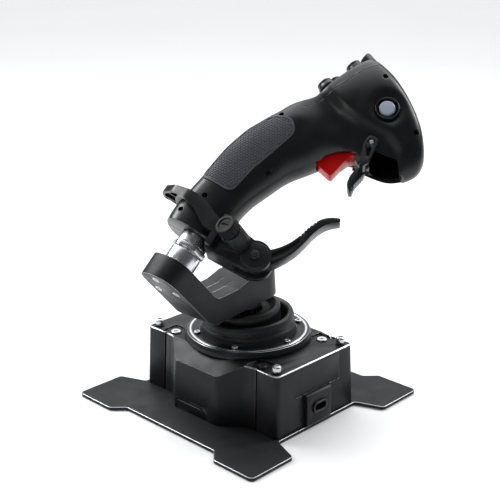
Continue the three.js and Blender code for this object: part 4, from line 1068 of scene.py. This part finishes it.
def knob():
    profile = curved([(0, 2, 0), (2.6, 2, 0), (2.6, 12, 0), (7.6, 12, 0.4), (8.2, 12.8, 0.4),
                      (8.2, 20.4, 0.6), (7.2, 21.4, 0.6), (5.4, 21.4, 0.3), (5, 20.6, 0.3), (0, 20.6, 0)], 4)
    tools = [rod(0.9, 12.8, 22, 16, 8.6 * math.cos(k * math.pi / 8), 8.6 * math.sin(k * math.pi / 8))
             for k in range(16)]
    tools.append(box(-3.2, 3.2, -0.8, 0.8, 19.6, 22))
    put(cut(turned(profile, 96), *tools), "clamp_knob", GRIP @ knob_place(), dull_black, 0.3, 2)


# ---------------------------------------------------------------- rubber pads
def inside_outline(x, z, outline):
    inside = False
    for (x0, z0), (x1, z1) in zip(outline, outline[1:] + outline[:1]):
        if (z0 > z) != (z1 > z) and x < x0 + (z - z0) * (x1 - x0) / (z1 - z0):
            inside = not inside
    return inside


def pad_skin(offset):
    """The stretch of the grip's skin that the pads lie in."""
    return grip_form(offset, 1.5, 9, 60, 128)


def pads():
    """Rubber inlays with a raised rim round a field of raised hexagons."""
    cell, spread = 1.15, 1.16
    field = [tuple(p) for p in grown(PAD_CORNERS, PAD_MIDDLE, -2.6)]
    skin = pad_skin(0.1)
    tree = BVHTree.FromObject(skin, bpy.context.evaluated_depsgraph_get())
    for side, node in ((1, "left_pad"), (-1, "right_pad")):
        body = cut(pad_skin(0.7), pad_skin(-0.9))
        body = common(body, pad_tool(0, side))
        sink = cut(grip_form(4, 1.5, 9, 30, 72), pad_skin(0.1))
        band = slab(grown(PAD_CORNERS, PAD_MIDDLE, -1.6), -GRIP_HALF, GRIP_HALF)
        body = cut(body, common(sink, band))
        verts, faces = [], []
        step_x, step_z = cell * math.sqrt(3) * spread, cell * 1.5 * spread
        for row in range(60):
            for column in range(40):
                x = -24 + (column + 0.5 * (row % 2)) * step_x
                z = 32 + row * step_z
                if inside_outline(x, z, field):
                    add_cell(verts, faces, tree, side, x, z, cell)
        cells = solid(verts, faces)
        put(body, node, GRIP, pad_rubber, 0.2, 2, 40)
        put_cells(cells, node)
    bpy.data.objects.remove(skin)


def add_cell(verts, faces, tree, side, x, z, cell):
    """One raised hexagon, sunk a little into the pad."""
    start = len(verts)
    for radius, height in ((cell, -0.3), (cell, 0.3), (cell * 0.72, 0.5)):
        for k in range(6):
            a = math.radians(60 * k + 30)
            px, pz = x + radius * math.cos(a), z + radius * math.sin(a)
            hit = tree.ray_cast(Vector((px, side * GRIP_HALF, pz)), Vector((0, -side, 0)))
            if hit[0] is None:
                del verts[start:]
                return
            verts.append(hit[0] + hit[1] * height)
    for ring in (0, 1):
        for k in range(6):
            a, b = start + ring * 6 + k, start + ring * 6 + (k + 1) % 6
            faces.append((a, b, b + 6, a + 6))
    faces.append(tuple(range(start, start + 6)))
    faces.append(tuple(range(start + 12, start + 18)))


def put_cells(cells, node):
    cells.name = f"{node}_cells"
    cells.data.materials.append(pad_rubber)
    cells.data.transform(TO_METRES @ GRIP)
    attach(cells, BODY_OF[node])


# ---------------------------------------------------------------- stage
def light_sky(tree):
    """Soft light from above and behind the object that leaves the camera's side of the sky dark."""
    links = tree.links
    place = tree.nodes.new("ShaderNodeTexCoord").outputs["Generated"]
    towards = tree.nodes.new("ShaderNodeVectorMath")
    towards.operation = "DOT_PRODUCT"
    towards.inputs[1].default_value = SKY_AXIS
    links.new(place, towards.inputs[0])
    fade = tree.nodes.new("ShaderNodeMapRange")
    fade.interpolation_type = "SMOOTHSTEP"
    fade.inputs["From Min"].default_value = FADE_START
    fade.inputs["From Max"].default_value = FADE_END
    fade.inputs["To Min"].default_value = SKY_DARK
    fade.inputs["To Max"].default_value = SKY_BRIGHT
    links.new(towards.outputs["Value"], fade.inputs["Value"])
    links.new(fade.outputs["Result"], tree.nodes["Background"].inputs["Strength"])
    tree.nodes["Background"].inputs["Color"].default_value = (0.97, 0.985, 1, 1)


def stage():
    floor = solid([(-15, -15, 0), (15, -15, 0), (15, 15, 0), (-15, 15, 0)], [(0, 1, 2, 3)])
    floor.name = "floor"
    floor.location.z = -0.0002
    nodes = Nodes("pale floor")
    tone = nodes.mix(nodes.noise(3, 2), (0.86, 0.86, 0.87), (0.9, 0.9, 0.9))
    nodes.link(tone, nodes.shader.inputs["Base Color"])
    nodes.shader.inputs["Roughness"].default_value = 0.7
    floor.data.materials.append(nodes.material)
    world = bpy.data.worlds.new("studio")
    world.use_nodes = True
    light_sky(world.node_tree)
    bpy.context.scene.world = world
    for name, place, size, power in LAMPS:
        light = bpy.data.lights.new(name, "AREA")
        light.shape = "RECTANGLE"
        light.size, light.size_y = size
        light.energy = power
        lamp = bpy.data.objects.new(name, light)
        lamp.location = place
        lamp.rotation_euler = (Vector(LAMP_AIM) - Vector(place)).to_track_quat("-Z", "Y").to_euler()
        bpy.context.collection.objects.link(lamp)
    camera = bpy.data.objects.new("camera", bpy.data.cameras.new("camera"))
    camera.location = CAMERA_PLACE
    camera.rotation_euler = Vector(CAMERA_LOOK).to_track_quat("-Z", "Y").to_euler()
    camera.data.sensor_width = 36
    camera.data.lens = CAMERA_LENS
    bpy.context.collection.objects.link(camera)
    bpy.context.scene.camera = camera
    bpy.context.scene.view_settings.view_transform = "Standard"


stage()
base_plate()
housing()
side_hatch()
port()
flange()
base_screws()
boots()
arm()
collar()
grip_shells()
hats()
trigger()
flip_trigger()
side_button()
bracket()
paddle_pin()
paddle()
palm_rest()
knob()
pads()
